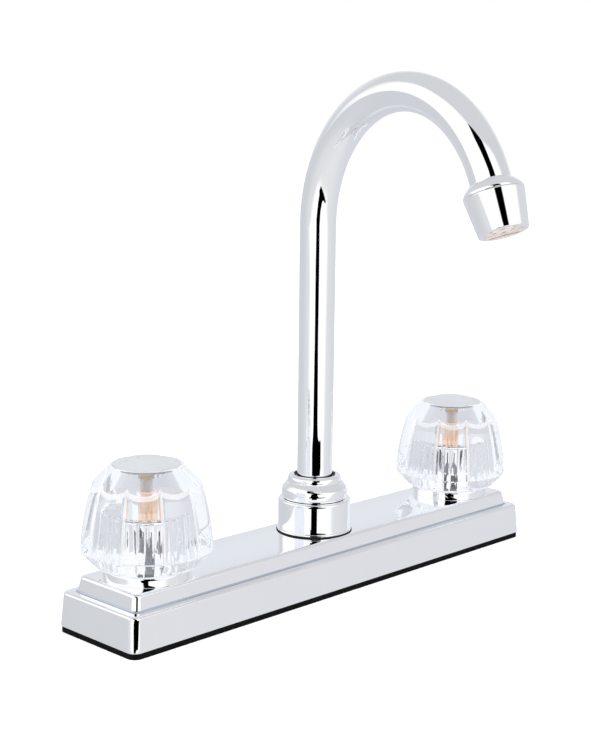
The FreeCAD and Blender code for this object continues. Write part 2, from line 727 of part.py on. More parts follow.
def make_knob(side, name, phase, broach):
    count = int(s.lobe_count.value)
    upper_radius = s.knob_shoulder_radius * 2 - s.knob_waist_radius
    sections = []
    for radius, lift in (
        (s.knob_belly_radius, as_size(0)),
        (s.knob_belly_radius, s.knob_belly_height),
        (s.knob_waist_radius, s.knob_waist_height),
        (s.knob_shoulder_radius, s.knob_shoulder_height),
        (upper_radius, s.knob_height + s.knob_gap),
    ):
        level = (knob_foot + lift).value
        sections.append(lobed_wire(radius.value, s.lobe_depth.value, level, count))
    lobes = doc.addObject("Part::Feature", name + "Lobes")
    lobes.Shape = Part.makeLoft(sections, True, True)
    knob_top = knob_foot + s.knob_height
    wide = s.knob_belly_radius + s.knob_gap
    slope = (s.knob_shoulder_radius - s.knob_top_radius) / (s.knob_height - s.knob_shoulder_height)
    spread = wide - s.knob_shoulder_radius
    crown_foot = knob_foot + s.knob_shoulder_height - spread / slope
    taper_slope = (s.knob_taper_radius - s.knob_base_radius) / s.knob_taper_height
    taper_top = knob_foot + (wide - s.knob_base_radius) / taper_slope
    skirt = s.bonnet_radius + s.knob_gap
    mouth_top = knob_foot + s.knob_mouth_height
    envelope = turned(name + "Envelope", [
        (s.knob_mouth, knob_foot),
        (s.knob_base_radius, knob_foot),
        (wide, taper_top),
        (wide, crown_foot),
        (s.knob_top_radius, knob_top),
        (s.cap_radius, knob_top),
        (s.cap_radius, cap_level),
        (s.counterbore_radius, cap_level),
        (s.counterbore_radius, screw_seat_level),
        (s.screw_radius + s.loose_gap, screw_seat_level),
        (s.screw_radius + s.loose_gap, knob_roof),
        (skirt - s.knob_gap, knob_roof),
        (skirt, knob_roof - s.knob_gap),
        (skirt, mouth_top),
    ])
    blank = combine("Common", name + "Blank", envelope, lobes)
    blank.Placement.Rotation = Rotation(Vector(0, 0, 1), phase)
    doc.recompute()
    socket = doc.addObject("Part::Feature", name + "Socket")
    socket.Shape = broach.Shape
    socket.Placement = FreeCAD.Placement()
    knob = combine("Cut", name, blank, socket)
    place(knob, side * valve_offset)
    return knob


def make_index_cap(side, name):
    radius = s.cap_radius - s.running_gap
    plug = s.counterbore_radius - s.running_gap
    rim = knob_foot + s.knob_height
    curve = (radius * radius + s.cap_crown * s.cap_crown) / (2 * s.cap_crown)
    plug_foot = cap_level - s.cap_plug_depth
    body = turned(name, [
        (plug - s.cap_plug_wall, plug_foot),
        (plug, plug_foot),
        (plug, cap_level),
        (radius, cap_level),
        (radius, rim, curve, "out"),
        (0, rim + s.cap_crown),
        (0, cap_level + s.cap_plug_wall),
        (plug - s.cap_plug_wall, cap_level + s.cap_plug_wall),
    ])
    place(body, side * valve_offset)
    return body


def make_handle_screw(side, name):
    head_top = screw_seat_level + s.screw_head_height
    edge = s.screw_head_height / 2
    body = turned(name + "Turned", [
        (0, broach_top - s.screw_grip),
        (s.screw_radius, broach_top - s.screw_grip),
        (s.screw_radius, screw_seat_level),
        (s.screw_head, screw_seat_level),
        (s.screw_head, head_top - edge),
        (s.screw_head - edge, head_top),
        (0, head_top),
    ])
    slot_width = s.screw_radius / 2
    slots = []
    for turn in (0, 90):
        slot = box(f"{name}Slot{turn}", 2 * s.screw_radius, slot_width, edge,
                   -s.screw_radius, -slot_width / 2, head_top - edge)
        if turn:
            place(slot, slot_width / 2, -s.screw_radius, head_top - edge)
            slot.Placement.Rotation = Rotation(Vector(0, 0, 1), turn)
        slots.append(slot)
    screw = cut_all(name, body, slots)
    place(screw, side * valve_offset)
    return screw


def make_spout_boss():
    """Mixing chamber under the plate, with the bore that the spout's collar turns in."""
    body = turned("SpoutBossTurned", [
        (0, s.boss_lift),
        (s.boss_radius, s.boss_lift),
        (s.boss_radius, plate_under),
        (s.boss_neck_radius, plate_under),
        (s.boss_neck_radius, boss_neck_top),
        (collar_bore, boss_neck_top),
        (collar_bore, chamber_top),
        (s.chamber_radius, chamber_top),
        (s.chamber_radius, chamber_foot),
        (0, chamber_foot),
    ])
    port = cylinder("SpoutBossPorts", s.tube_bore, 4 * s.boss_radius, -2 * s.boss_radius, 0, s.tube_level)
    port.Placement.Rotation = Rotation(Vector(0, 1, 0), 90)
    keep("spout_boss", combine("Cut", "SpoutBoss", body, port))


def make_hub_sleeve():
    foot_top_level = plate_top + s.hub_foot_height
    step = s.hub_foot_radius - s.hub_radius
    keep("hub_sleeve", turned("HubSleeve", [
        (s.boss_neck_radius, plate_top),
        (s.hub_foot_radius, plate_top),
        (s.hub_foot_radius, foot_top_level),
        (s.hub_radius, foot_top_level + step),
        (s.hub_radius, hub_top - s.hub_shoulder, s.hub_shoulder, "out"),
        (s.hub_radius - s.hub_shoulder, hub_top),
        (s.hub_counterbore, hub_top),
        (s.hub_counterbore, hub_counterbore_foot),
        (s.boss_neck_radius, hub_counterbore_foot),
    ]))


def make_spout_nut():
    bore = s.spout_radius + s.loose_gap
    bead_curve = s.bead_height * BEAD_FLATNESS
    keep("spout_nut", turned("SpoutNut", [
        (s.boss_neck_radius, hub_counterbore_foot),
        (s.hub_counterbore, hub_counterbore_foot),
        (s.hub_counterbore, hub_top, bead_curve, "out"),
        (s.bead_radius, hub_top + s.bead_height / 2, bead_curve, "out"),
        (s.dome_foot_radius, bead_top, s.dome_curve, "out"),
        (s.dome_top_radius, dome_top),
        (s.lip_radius, dome_top),
        (s.lip_radius, dome_top + s.lip_height),
        (bore, dome_top + s.lip_height),
        (bore, hub_top),
        (s.boss_neck_radius, hub_top),
    ]))


# Gooseneck tube and what turns with it
def make_spout_tube():
    body = new_body("SpoutTube")
    path = new_sketch(body, "SpoutPath", "YZ_Plane")
    up = Part.LineSegment(Vector(0, spout_foot.value, 0), Vector(0, s.rise_top.value, 0))
    rise, fall = s.rise_bend.value, s.fall_bend.value
    crown = s.rise_top.value + rise
    quarter = math.pi / 2
    fall_turn = math.radians(s.fall_angle.value)
    upright = Vector(0, 0, 1)
    rise_circle = Part.Circle(Vector(-rise, s.rise_top.value, 0), upright, rise)
    fall_circle = Part.Circle(Vector(-rise, crown - fall, 0), upright, fall)
    first = Part.ArcOfCircle(rise_circle, 0, quarter)
    second = Part.ArcOfCircle(fall_circle, quarter, quarter + fall_turn)
    path.addGeometry([up, first, second], False)
    fix(path, 0, 1, 0, spout_foot)
    fix(path, 0, 2, 0, s.rise_top)
    path.addConstraint(Sketcher.Constraint("Tangent", 0, 2, 1, 1))
    fix_radius(path, 1, s.rise_bend)
    path.addConstraint(Sketcher.Constraint("Tangent", 1, 2, 2, 1))
    fix_radius(path, 2, s.fall_bend)
    path.addConstraint(Sketcher.Constraint("Angle", 1, quarter))
    turn = path.addConstraint(Sketcher.Constraint("Angle", 2, fall_turn))
    path.setExpression(f"Constraints[{turn}]", f"{s.fall_angle.text} * 1deg")
    section = new_sketch(body, "SpoutSection", "XY_Plane", spout_foot)
    circle(section, s.spout_radius)
    circle(section, s.spout_radius - s.spout_wall)
    pipe = body.newObject("PartDesign::AdditivePipe", "SpoutPipe")
    pipe.Profile = section
    pipe.Spine = path
    path.Visibility = False
    return body


def make_spout_collar():
    inner = s.collar_radius - s.ring_wire
    points = [
        (s.spout_radius, spout_foot),
        (s.collar_radius, spout_foot),
    ]
    for number in range(2):
        groove_foot = s.lower_ring_level + number * s.ring_spacing - s.ring_groove / 2
        points += [
            (s.collar_radius, groove_foot),
            (inner, groove_foot),
            (inner, groove_foot + s.ring_groove),
            (s.collar_radius, groove_foot + s.ring_groove),
        ]
    points += [
        (s.collar_radius, collar_flange_foot),
        (s.collar_flange, collar_flange_foot),
        (s.collar_flange, collar_flange_top),
        (s.spout_radius, collar_flange_top),
    ]
    return turned("SpoutCollar", points)


def make_spout_rings():
    inner = s.collar_radius - s.ring_wire
    rings = [
        ring(f"SpoutRing{number}", inner, s.lower_ring_level + number * s.ring_spacing)
        for number in range(2)
    ]
    pair = doc.addObject("Part::Compound", "SpoutRings")
    pair.Links = rings
    return pair


def make_swivel_washer():
    return turned("SwivelWasher", [
        (s.spout_radius + s.loose_gap, collar_flange_top),
        (s.collar_flange, collar_flange_top),
        (s.collar_flange, collar_flange_top + s.washer_height),
        (s.spout_radius + s.loose_gap, collar_flange_top + s.washer_height),
    ])


# The outlet pieces are drawn with their axis on Z, from the end of the tube's bend downwards
def make_outlet_collar():
    return turned("OutletCollar", [
        (s.spout_radius, -s.outlet_dome - s.outlet_thread_length),
        (s.outlet_thread_radius, -s.outlet_dome - s.outlet_thread_length),
        (s.outlet_thread_radius, -s.outlet_dome),
        (s.outlet_radius, -s.outlet_dome, s.outlet_curve, "out"),
        (s.spout_radius, 0),
    ])


def make_aerator_housing():
    foot = -s.outlet_dome - s.aerator_length
    thread_end = -s.outlet_dome - s.outlet_thread_length - s.aerator_washer_height
    return turned("AeratorHousing", [
        (s.aerator_mouth, foot),
        (s.aerator_tip_radius, foot),
        (s.outlet_radius, -s.outlet_dome),
        (s.outlet_thread_radius, -s.outlet_dome),
        (s.outlet_thread_radius, thread_end),
        (s.aerator_bore, thread_end),
        (s.aerator_bore, foot + s.aerator_lip),
        (s.aerator_mouth, foot + s.aerator_lip),
    ])


def make_aerator_washer():
    top = -s.outlet_dome - s.outlet_thread_length
    return turned("AeratorWasher", [
        (s.spout_radius - s.spout_wall, top - s.aerator_washer_height),
        (s.outlet_thread_radius, top - s.aerator_washer_height),
        (s.outlet_thread_radius, top),
        (s.spout_radius - s.spout_wall, top),
    ])


def make_aerator_screen():
    top = -s.outlet_dome - s.outlet_thread_length - s.aerator_washer_height
    return turned("AeratorScreen", [
        (0, top - s.screen_height),
        (s.aerator_bore, top - s.screen_height),
        (s.aerator_bore, top),
        (0, top),
    ])


def make_aerator_insert():
    top = -s.outlet_dome - s.outlet_thread_length - s.aerator_washer_height - s.screen_height
    foot = -s.outlet_dome - s.aerator_length + s.aerator_lip
    body = new_body("AeratorInsert")
    sketch = new_sketch(body, "InsertFace", "XY_Plane", foot)
    circle(sketch, s.aerator_bore)
    pad = body.newObject("PartDesign::Pad", "InsertPad")
    pad.Profile = sketch
    bind(pad, "Length", top - foot)
    centre = new_sketch(body, "InsertCentreHole", "XY_Plane", top)
    circle(centre, s.jet_radius)
    pocket = body.newObject("PartDesign::Pocket", "InsertCentreJet")
    pocket.Profile = centre
    pocket.Type = "ThroughAll"
    hole = new_sketch(body, "InsertHole", "XY_Plane", top)
    circle(hole, s.jet_radius, s.jet_circle)
    jet = body.newObject("PartDesign::Pocket", "InsertJet")
    jet.Profile = hole
    jet.Type = "ThroughAll"
    around = body.newObject("PartDesign::PolarPattern", "InsertJets")
    around.Originals = [jet]
    around.Axis = (hole, ["N_Axis"])
    around.Angle = 360
    around.Occurrences = JETS
    body.Tip = around
    return body


def make_deck_washer(side, name):
    body = turned(name, [
        (s.shank_radius + s.loose_gap, -s.deck_thickness - s.deck_washer_height),
        (s.deck_washer_radius, -s.deck_thickness - s.deck_washer_height),
        (s.deck_washer_radius, -s.deck_thickness),
        (s.shank_radius + s.loose_gap, -s.deck_thickness),
    ])
    place(body, side * valve_offset)
    return body


def make_lock_nut(side, name):
    """Hexagon nut with chamfered corners, under the deck washer."""
    top = -s.deck_thickness - s.deck_washer_height
    foot = top - s.nut_height
    corner = s.nut_flats / math.sqrt(3)
    blank = turned(name + "Blank", [
        (s.shank_radius, foot),
        (corner - s.nut_chamfer, foot),
        (corner, foot + s.nut_chamfer),
        (corner, top),
        (s.shank_radius, top),
    ])
    prism = doc.addObject("Part::Prism", name + "Hexagon")
    prism.Polygon = 6
    bind(prism, "Circumradius", corner)
    bind(prism, "Height", s.nut_height)
    place(prism, 0, 0, foot)
    nut = combine("Common", name, blank, prism)
    place(nut, side * valve_offset)
    return nut


def place_spout_pieces():
    """Swing the spout's pieces, and carry the outlet's pieces to the end of the bend."""
    swing = FreeCAD.Placement(Vector(0, 0, 0), Rotation(Vector(0, 0, 1), -s.swing.value))
    turn = math.radians(s.fall_angle.value)
    tip_y = -s.rise_bend.value - s.fall_bend.value * math.sin(turn)
    tip_z = s.rise_top.value + s.rise_bend.value - s.fall_bend.value * (1 - math.cos(turn))
    lean = Rotation(Vector(1, 0, 0), s.fall_angle.value - 90)
    tip = FreeCAD.Placement(Vector(0, tip_y, tip_z), lean)
    for node, maker in (("spout_tube", make_spout_tube), ("spout_collar", make_spout_collar),
                        ("spout_rings", make_spout_rings), ("swivel_washer", make_swivel_washer)):
        item = keep(node, maker())
        item.Placement = swing
    for node, maker in (("outlet_collar", make_outlet_collar), ("aerator_housing", make_aerator_housing),
                        ("aerator_washer", make_aerator_washer), ("aerator_screen", make_aerator_screen),
                        ("aerator_insert", make_aerator_insert)):
        item = maker()
        inner = item.Placement
        item = keep(node, item)
        doc.recompute()
        item.Placement = swing.multiply(tip).multiply(inner)


def make_valve_side(hand, side):
    """Everything on one handle's axis."""
    title = hand.capitalize()
    keep(f"valve_body_{hand}", make_valve_body(side, f"ValveBody{title}"))
    keep(f"cross_tube_{hand}", make_cross_tube(side, f"CrossTube{title}"))
    keep(f"bonnet_{hand}", make_bonnet(side, f"Bonnet{title}"))
    keep(f"cartridge_shell_{hand}", make_cartridge_shell(side, f"CartridgeShell{title}"))
    keep(f"seat_seal_{hand}", make_seat_seal(side, f"SeatSeal{title}"))
    keep(f"fixed_disc_{hand}", make_fixed_disc(side, f"FixedDisc{title}"))
    keep(f"moving_disc_{hand}", make_moving_disc(side, f"MovingDisc{title}"))
    stem = keep(f"stem_{hand}", make_stem(side, f"Stem{title}"))
    keep(f"stem_ring_{hand}", make_stem_ring(side, f"StemRing{title}"))
    keep(f"knob_{hand}", make_knob(side, f"Knob{title}", KNOB_PHASE[hand], stem))
    keep(f"index_cap_{hand}", make_index_cap(side, f"IndexCap{title}"))
    keep(f"handle_screw_{hand}", make_handle_screw(side, f"HandleScrew{title}"))
    keep(f"deck_washer_{hand}", make_deck_washer(side, f"DeckWasher{title}"))
    keep(f"lock_nut_{hand}", make_lock_nut(side, f"LockNut{title}"))


def check():
    """Stop if an object failed or a sub-part has no sound shape."""
    for item in doc.Objects:
        if "Invalid" in item.State or "Error" in item.State:
            raise RuntimeError(f"{item.Name} is {item.State}")
    for node, item in parts.items():
        if item.Shape.isNull() or not item.Shape.isValid() or not item.Shape.Solids:
            raise RuntimeError(f"{node} has no valid shape")


make_escutcheon()
make_gasket()
make_spout_boss()
make_hub_sleeve()
make_spout_nut()
make_valve_side("left", -1)
make_valve_side("right", 1)
place_spout_pieces()
doc.recompute()
check()
os.makedirs("parts", exist_ok=True)
for node, item in parts.items():
    item.Shape.exportStep(f"parts/{node}.step")
    print(node, len(item.Shape.Solids), round(item.Shape.Volume, 1))
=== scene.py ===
# Looks of the kitchen mixer tap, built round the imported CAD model.
# Metres, in the CAD's frame: +X to the user's right, the front is -Y and +Z is up.
import math
import bpy
import numpy as np
from mathutils import Matrix, Vector
from mathutils.geometry import tessellate_polygon


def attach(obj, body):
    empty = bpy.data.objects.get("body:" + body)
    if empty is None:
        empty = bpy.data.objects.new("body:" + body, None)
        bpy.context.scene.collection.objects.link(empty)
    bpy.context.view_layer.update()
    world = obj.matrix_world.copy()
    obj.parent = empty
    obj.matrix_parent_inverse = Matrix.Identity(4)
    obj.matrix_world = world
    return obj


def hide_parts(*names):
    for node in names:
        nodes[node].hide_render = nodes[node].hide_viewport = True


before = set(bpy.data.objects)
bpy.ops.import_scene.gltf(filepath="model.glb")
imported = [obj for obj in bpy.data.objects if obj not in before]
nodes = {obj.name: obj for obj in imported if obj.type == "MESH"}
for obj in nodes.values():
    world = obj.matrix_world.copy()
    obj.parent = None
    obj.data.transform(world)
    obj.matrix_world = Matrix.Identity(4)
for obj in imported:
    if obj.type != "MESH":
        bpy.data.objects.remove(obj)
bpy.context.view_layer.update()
MM = 0.001

# Camera that took the photograph, in millimetres and degrees. The sensor's size belongs to the longer side.
CAMERA_POSITION = (-481.181, -458.829, 215.688)
CAMERA_YAW = 45.54
CAMERA_PITCH = 9.705
CAMERA_ROLL = 0.635
FOCAL_PIXELS = 1457.165
PHOTO_HEIGHT = 732
SENSOR = 36.0
CAMERA_AZIMUTH = math.atan2(CAMERA_POSITION[1], CAMERA_POSITION[0])

# Sizes that the pieces share, in millimetres and degrees
SIDES = (("left", -1), ("right", 1))
VALVE_OFFSET = 101.6
PLATE_LENGTH = 260.0
PLATE_WIDTH = 51.0
GASKET_TOP = 2.5
LEDGE = 17.5
PLATE_CEILING = 22.3
PLATE_TOP = 24.5
SPOUT_SWING = -9.8
SPOUT_RADIUS = 8.25
SPOUT_WALL = 1.1
SPOUT_FOOT = 17.8
RISE_TOP = 167.0
RISE_BEND = 59.6
FALL_BEND = 57.8
FALL_ANGLE = 66.5


# Materials
def material(name, colour, **sockets):
    """A material with its main numbers set on the shader's own sockets."""
    made = bpy.data.materials.new(name)
    made.use_nodes = True
    shader = made.node_tree.nodes["Principled BSDF"]
    shader.inputs["Base Color"].default_value = (*colour, 1)
    for key, value in sockets.items():
        shader.inputs[key.replace("_", " ")].default_value = value
    return made


def node(tree, kind, **settings):
    """A node with its properties and its inputs set by name or number."""
    made = tree.nodes.new(kind)
    for key, value in settings.items():
        if key.startswith("in_"):
            index = key[3:]
            made.inputs[int(index) if index.isdigit() else index].default_value = value
        else:
            setattr(made, key, value)
    return made


def ramp(tree, factor, stops):
    """A colour ramp through (position, grey or colour) stops."""
    made = tree.nodes.new("ShaderNodeValToRGB")
    elements = made.color_ramp.elements
    while len(elements) > 1:
        elements.remove(elements[-1])
    for index, (position, value) in enumerate(stops):
        element = elements[0] if index == 0 else elements.new(position)
        element.position = position
        colour = value if isinstance(value, tuple) else (value, value, value)
        element.color = (*colour, 1)
    tree.links.new(factor, made.inputs["Fac"])
    return made


def noise(tree, scale, detail=3.0):
    """Noise over the object's own coordinates, in metres."""
    place = tree.nodes.new("ShaderNodeTexCoord")
    made = node(tree, "ShaderNodeTexNoise", in_Scale=scale, in_Detail=detail)
    tree.links.new(place.outputs["Object"], made.inputs["Vector"])
    return made


def vary(made, scale, socket, low, high):
    """Let a number of the shader wander between two values."""
    tree = made.node_tree
    shader = tree.nodes["Principled BSDF"]
    pattern = noise(tree, scale)
    spread = node(tree, "ShaderNodeMapRange", in_3=low, in_4=high)
    tree.links.new(pattern.outputs["Fac"], spread.inputs["Value"])
    tree.links.new(spread.outputs["Result"], shader.inputs[socket])


def tint(made, scale, colours):
    """Let the colour wander between two or more values."""
    tree = made.node_tree
    pattern = noise(tree, scale)
    stops = [(0.3 + 0.4 * index / (len(colours) - 1), colour) for index, colour in enumerate(colours)]
    colour = ramp(tree, pattern.outputs["Fac"], stops)
    tree.links.new(colour.outputs["Color"], tree.nodes["Principled BSDF"].inputs["Base Color"])


def roughen(made, scale, strength, distance):
    """A fine bump, its depth in metres."""
    tree = made.node_tree
    pattern = noise(tree, scale, detail=4.0)
    bump = node(tree, "ShaderNodeBump", in_Strength=strength, in_Distance=distance)
    tree.links.new(pattern.outputs["Fac"], bump.inputs["Height"])
    tree.links.new(bump.outputs["Normal"], tree.nodes["Principled BSDF"].inputs["Normal"])


def wear(made, colour, roughness):
    """Another colour and roughness where an edge is rubbed."""
    tree = made.node_tree
    shader = tree.nodes["Principled BSDF"]
    shape = tree.nodes.new("ShaderNodeNewGeometry")
    edge = node(tree, "ShaderNodeMapRange", in_1=0.53, in_2=0.62)
    tree.links.new(shape.outputs["Pointiness"], edge.inputs["Value"])
    changes = (("Base Color", "RGBA", 6, 2, (*colour, 1)), ("Roughness", "FLOAT", 2, 0, roughness))
    for socket, kind, first, result, worn in changes:
        mix = node(tree, "ShaderNodeMix", data_type=kind)
        tree.links.new(edge.outputs["Result"], mix.inputs[0])
        tree.links.new(shader.inputs[socket].links[0].from_socket, mix.inputs[first])
        mix.inputs[first + 1].default_value = worn
        tree.links.new(mix.outputs[result], shader.inputs[socket])


def chrome_material(name, colour=(0.93, 0.937, 0.95), low=0.012, high=0.03):
    """Chrome plate of a colour, its roughness between two values."""
    made = material(name, colour, Metallic=1.0)
    tint(made, 60, [tuple(0.985 * part for part in colour), colour])
    vary(made, 180, "Roughness", low, high)
    wear(made, tuple(1.03 * part for part in colour), high + 0.03)
    return made


def paint_glow_in_the_depths(made, colour, strength):
    """Painted glow: an even emission stands in for light that has been reflected many times inside clear
    plastic.
    """
    tree = made.node_tree
    path = tree.nodes.new("ShaderNodeLightPath")
    deep = node(tree, "ShaderNodeMath", operation="GREATER_THAN", in_1=1.5)
    tree.links.new(path.outputs["Glossy Depth"], deep.inputs[0])
    glow = node(tree, "ShaderNodeEmission", in_Color=(*colour, 1), in_Strength=strength)
    mix = tree.nodes.new("ShaderNodeMixShader")
    tree.links.new(deep.outputs[0], mix.inputs[0])
    tree.links.new(tree.nodes["Principled BSDF"].outputs[0], mix.inputs[1])
    tree.links.new(glow.outputs[0], mix.inputs[2])
    tree.links.new(mix.outputs[0], tree.nodes["Material Output"].inputs["Surface"])


chrome = chrome_material("polished_chrome")
# Darker, rougher chrome for the plate's crease: painted shade in the crease
crease_shade_chrome = chrome_material("chrome_in_the_crease", (0.54, 0.6, 0.68), 0.1, 0.2)

brass = material("machined_brass", (0.8, 0.6, 0.32), Metallic=1.0)
tint(brass, 90, [(0.74, 0.53, 0.27), (0.84, 0.64, 0.36)])
vary(brass, 260, "Roughness", 0.2, 0.36)
roughen(brass, 900, 0.25, 0.00005)
wear(brass, (0.9, 0.74, 0.46), 0.16)

stem_brass = material("stem_brass", (0.96, 0.7, 0.54), Metallic=1.0)
tint(stem_brass, 120, [(0.95, 0.68, 0.52), (0.98, 0.77, 0.62)])
vary(stem_brass, 260, "Roughness", 0.25, 0.4)
wear(stem_brass, (1.0, 0.84, 0.7), 0.2)

screw_brass = material("screw_brass", (0.95, 0.5, 0.16), Metallic=1.0)
tint(screw_brass, 150, [(0.92, 0.5, 0.18), (0.98, 0.62, 0.28)])
vary(screw_brass, 300, "Roughness", 0.22, 0.38)
wear(screw_brass, (1.0, 0.72, 0.4), 0.18)

steel = material("plain_steel", (0.6, 0.61, 0.62), Metallic=1.0)
tint(steel, 140, [(0.54, 0.55, 0.56), (0.66, 0.67, 0.68)])
vary(steel, 400, "Roughness", 0.3, 0.48)
roughen(steel, 1400, 0.3, 0.00004)
wear(steel, (0.76, 0.77, 0.78), 0.24)

acrylic = material("clear_acrylic", (0.972, 0.978, 0.99), Roughness=0.0, IOR=1.49, Transmission_Weight=1.0)
vary(acrylic, 220, "Roughness", 0.0, 0.03)
# Painted glow inside the knobs' clear plastic, where a ray has reflected more than once
paint_glow_in_the_depths(acrylic, (0.9, 0.935, 1.0), 1.04)

# Whiter, partly opaque plastic for the knobs' edges: frosting and painted highlight
acrylic_edge = material("acrylic_edge", (0.98, 0.985, 1.0), Roughness=0.2, IOR=1.49, Transmission_Weight=0.45)
vary(acrylic_edge, 500, "Roughness", 0.15, 0.3)

acrylic_bore = material("acrylic_bore", (0.96, 0.965, 0.98), Roughness=0.3, IOR=1.49, Transmission_Weight=0.3)
vary(acrylic_bore, 500, "Roughness", 0.25, 0.4)

cap_plastic = material("frosted_cap", (0.7, 0.72, 0.75), IOR=1.47, Transmission_Weight=0.12)
tint(cap_plastic, 70, [(0.68, 0.705, 0.735), (0.72, 0.74, 0.765)])
vary(cap_plastic, 200, "Roughness", 0.24, 0.34)
roughen(cap_plastic, 1500, 0.15, 0.00003)
wear(cap_plastic, (0.78, 0.8, 0.825), 0.4)

rubber = material("black_rubber", (0.012, 0.012, 0.013), Specular_IOR_Level=0.2)
tint(rubber, 200, [(0.008, 0.008, 0.009), (0.02, 0.02, 0.021)])
vary(rubber, 300, "Roughness", 0.5, 0.7)
roughen(rubber, 2200, 0.4, 0.00006)
wear(rubber, (0.035, 0.035, 0.036), 0.8)

foam = material("black_foam", (0.006, 0.006, 0.007), Specular_IOR_Level=0.1)
tint(foam, 400, [(0.002, 0.002, 0.002), (0.008, 0.008, 0.008)])
vary(foam, 500, "Roughness", 0.75, 0.95)
roughen(foam, 3200, 0.7, 0.0002)

ceramic = material("polished_ceramic", (0.86, 0.85, 0.82))
tint(ceramic, 90, [(0.83, 0.82, 0.79), (0.9, 0.89, 0.87)])
vary(ceramic, 200, "Roughness", 0.08, 0.18)

white_plastic = material("white_plastic", (0.84, 0.84, 0.81))
tint(white_plastic, 60, [(0.8, 0.8, 0.77), (0.87, 0.87, 0.85)])
vary(white_plastic, 250, "Roughness", 0.35, 0.5)
roughen(white_plastic, 1800, 0.2, 0.00004)

cream_plastic = material("cream_plastic", (0.87, 0.76, 0.68))
tint(cream_plastic, 120, [(0.84, 0.72, 0.64), (0.9, 0.8, 0.73)])
vary(cream_plastic, 250, "Roughness", 0.35, 0.5)


# Meshes
def finish_mesh(name, vertices, faces, look, body, replaced=(), angle=32.0, position=None):
    """A smooth-shaded piece from points in millimetres, riding on a body."""
    points = np.asarray(vertices, float)
    if position is not None:
        points = points + np.asarray(position, float)
    mesh = bpy.data.meshes.new(name)
    mesh.from_pydata([tuple(point * MM) for point in points], [], faces)
    mesh.validate()
    mesh.update()
    mesh.polygons.foreach_set("use_smooth", [True] * len(mesh.polygons))
    mesh.set_sharp_from_angle(angle=math.radians(angle))
    mesh.materials.append(look)
    piece = bpy.data.objects.new(name, mesh)
    bpy.context.scene.collection.objects.link(piece)
    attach(piece, body)
    if replaced:
        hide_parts(*replaced)
    return piece


def arc(cx, cz, radius, start, end, steps):
    """Points of an arc in the plane of radius and height, angles in degrees."""
    turns = [math.radians(start + (end - start) * k / steps) for k in range(steps + 1)]
    return [(cx + radius * math.cos(turn), cz + radius * math.sin(turn)) for turn in turns]


def turned_mesh(profile):
    """Points and faces of a closed profile of (radius, height) turned about Z."""
    segments = 128
    rows, points, faces = [], [], []
    for radius, height in profile:
        if radius < 1e-6:
            rows.append([len(points)] * segments)
            points.append((0, 0, height))
            continue
        row = []
        for k in range(segments):
            turn = 2 * math.pi * k / segments
            row.append(len(points))
            points.append((radius * math.cos(turn), radius * math.sin(turn), height))
        rows.append(row)
    for index in range(len(rows)):
        a, b = rows[index], rows[(index + 1) % len(rows)]
        if a[0] == a[1] and b[0] == b[1]:
            continue
        for k in range(segments):
            n = (k + 1) % segments
            corners = []
            for corner in (a[k], a[n], b[n], b[k]):
                if corner not in corners:
                    corners.append(corner)
            if len(corners) > 2:
                faces.append(tuple(corners))
    return points, faces


def turned(name, profile, look, body, replaced=(), position=None, angle=32.0, matrix=None):
    """A piece from a turned profile, set in place by a matrix or a position."""
    points, faces = turned_mesh(profile)
    if matrix is not None:
        points = [tuple(matrix @ Vector(point)) for point in points]
    return finish_mesh(name, points, faces, look, body, replaced, angle, position)


def rounded_loop(length, width, corner):
    """Points of a rounded rectangle, anticlockwise from its front right corner."""
    steps = 14
    loop = []
    x, y = length / 2 - corner, width / 2 - corner
    for cx, cy, start in ((x, -y, -90), (x, y, 0), (-x, y, 90), (-x, -y, 180)):
        for k in range(steps + 1):
            turn = math.radians(start + 90 * k / steps)
            loop.append((cx + corner * math.cos(turn), cy + corner * math.sin(turn)))
    return loop


def bridge(faces, first, second, flip=False):
    """Quads between two closed loops of point numbers."""
    count = len(first)
    for k in range(count):
        n = (k + 1) % count
        quad = (first[k], first[n], second[n], second[k])
        faces.append(quad[::-1] if flip else quad)


# Deck plate with two tiers, its edges rounded and its crease filled
CREASE_STEPS = 5
HOLES = (("left", -VALVE_OFFSET, 12.3), ("hub", 0.0, 13.2), ("right", VALVE_OFFSET, 12.3))
HOLE_STEPS = 72


def plate_rows():
    """Rows of (inset, level, corner radius) up the outside, and the number of the crease's first row."""
    foot, lean, wall_steps = 2.95, 0.93, 9
    edge, edge_level = 1.3, 16.2
    rows = [(0.35, GASKET_TOP, 4.0), (0.1, 2.62, 4.0), (0.0, foot, 4.0)]
    for k in range(1, wall_steps):
        rows.append((lean * k / wall_steps, foot + (edge_level - foot) * k / wall_steps, 4.0))
    for inset, level in arc(lean + edge, edge_level, edge, 180, 90, 8):
        rows.append((inset, level, 4.0 - 0.25 * (inset - lean)))
    crease, upper_inset = 0.7, 5.45
    crease_row = len(rows)
    for inset, level in arc(upper_inset - crease, LEDGE + crease, crease, -90, 0, CREASE_STEPS):
        rows.append((inset, level, 3.1))
    rows.append((5.9, 20.6, 3.0))
    top_edge = 1.6
    for inset, level in arc(7.93, PLATE_TOP - top_edge, top_edge, 180, 90, 9):
        rows.append((inset, level, 3.0))
    return rows, crease_row


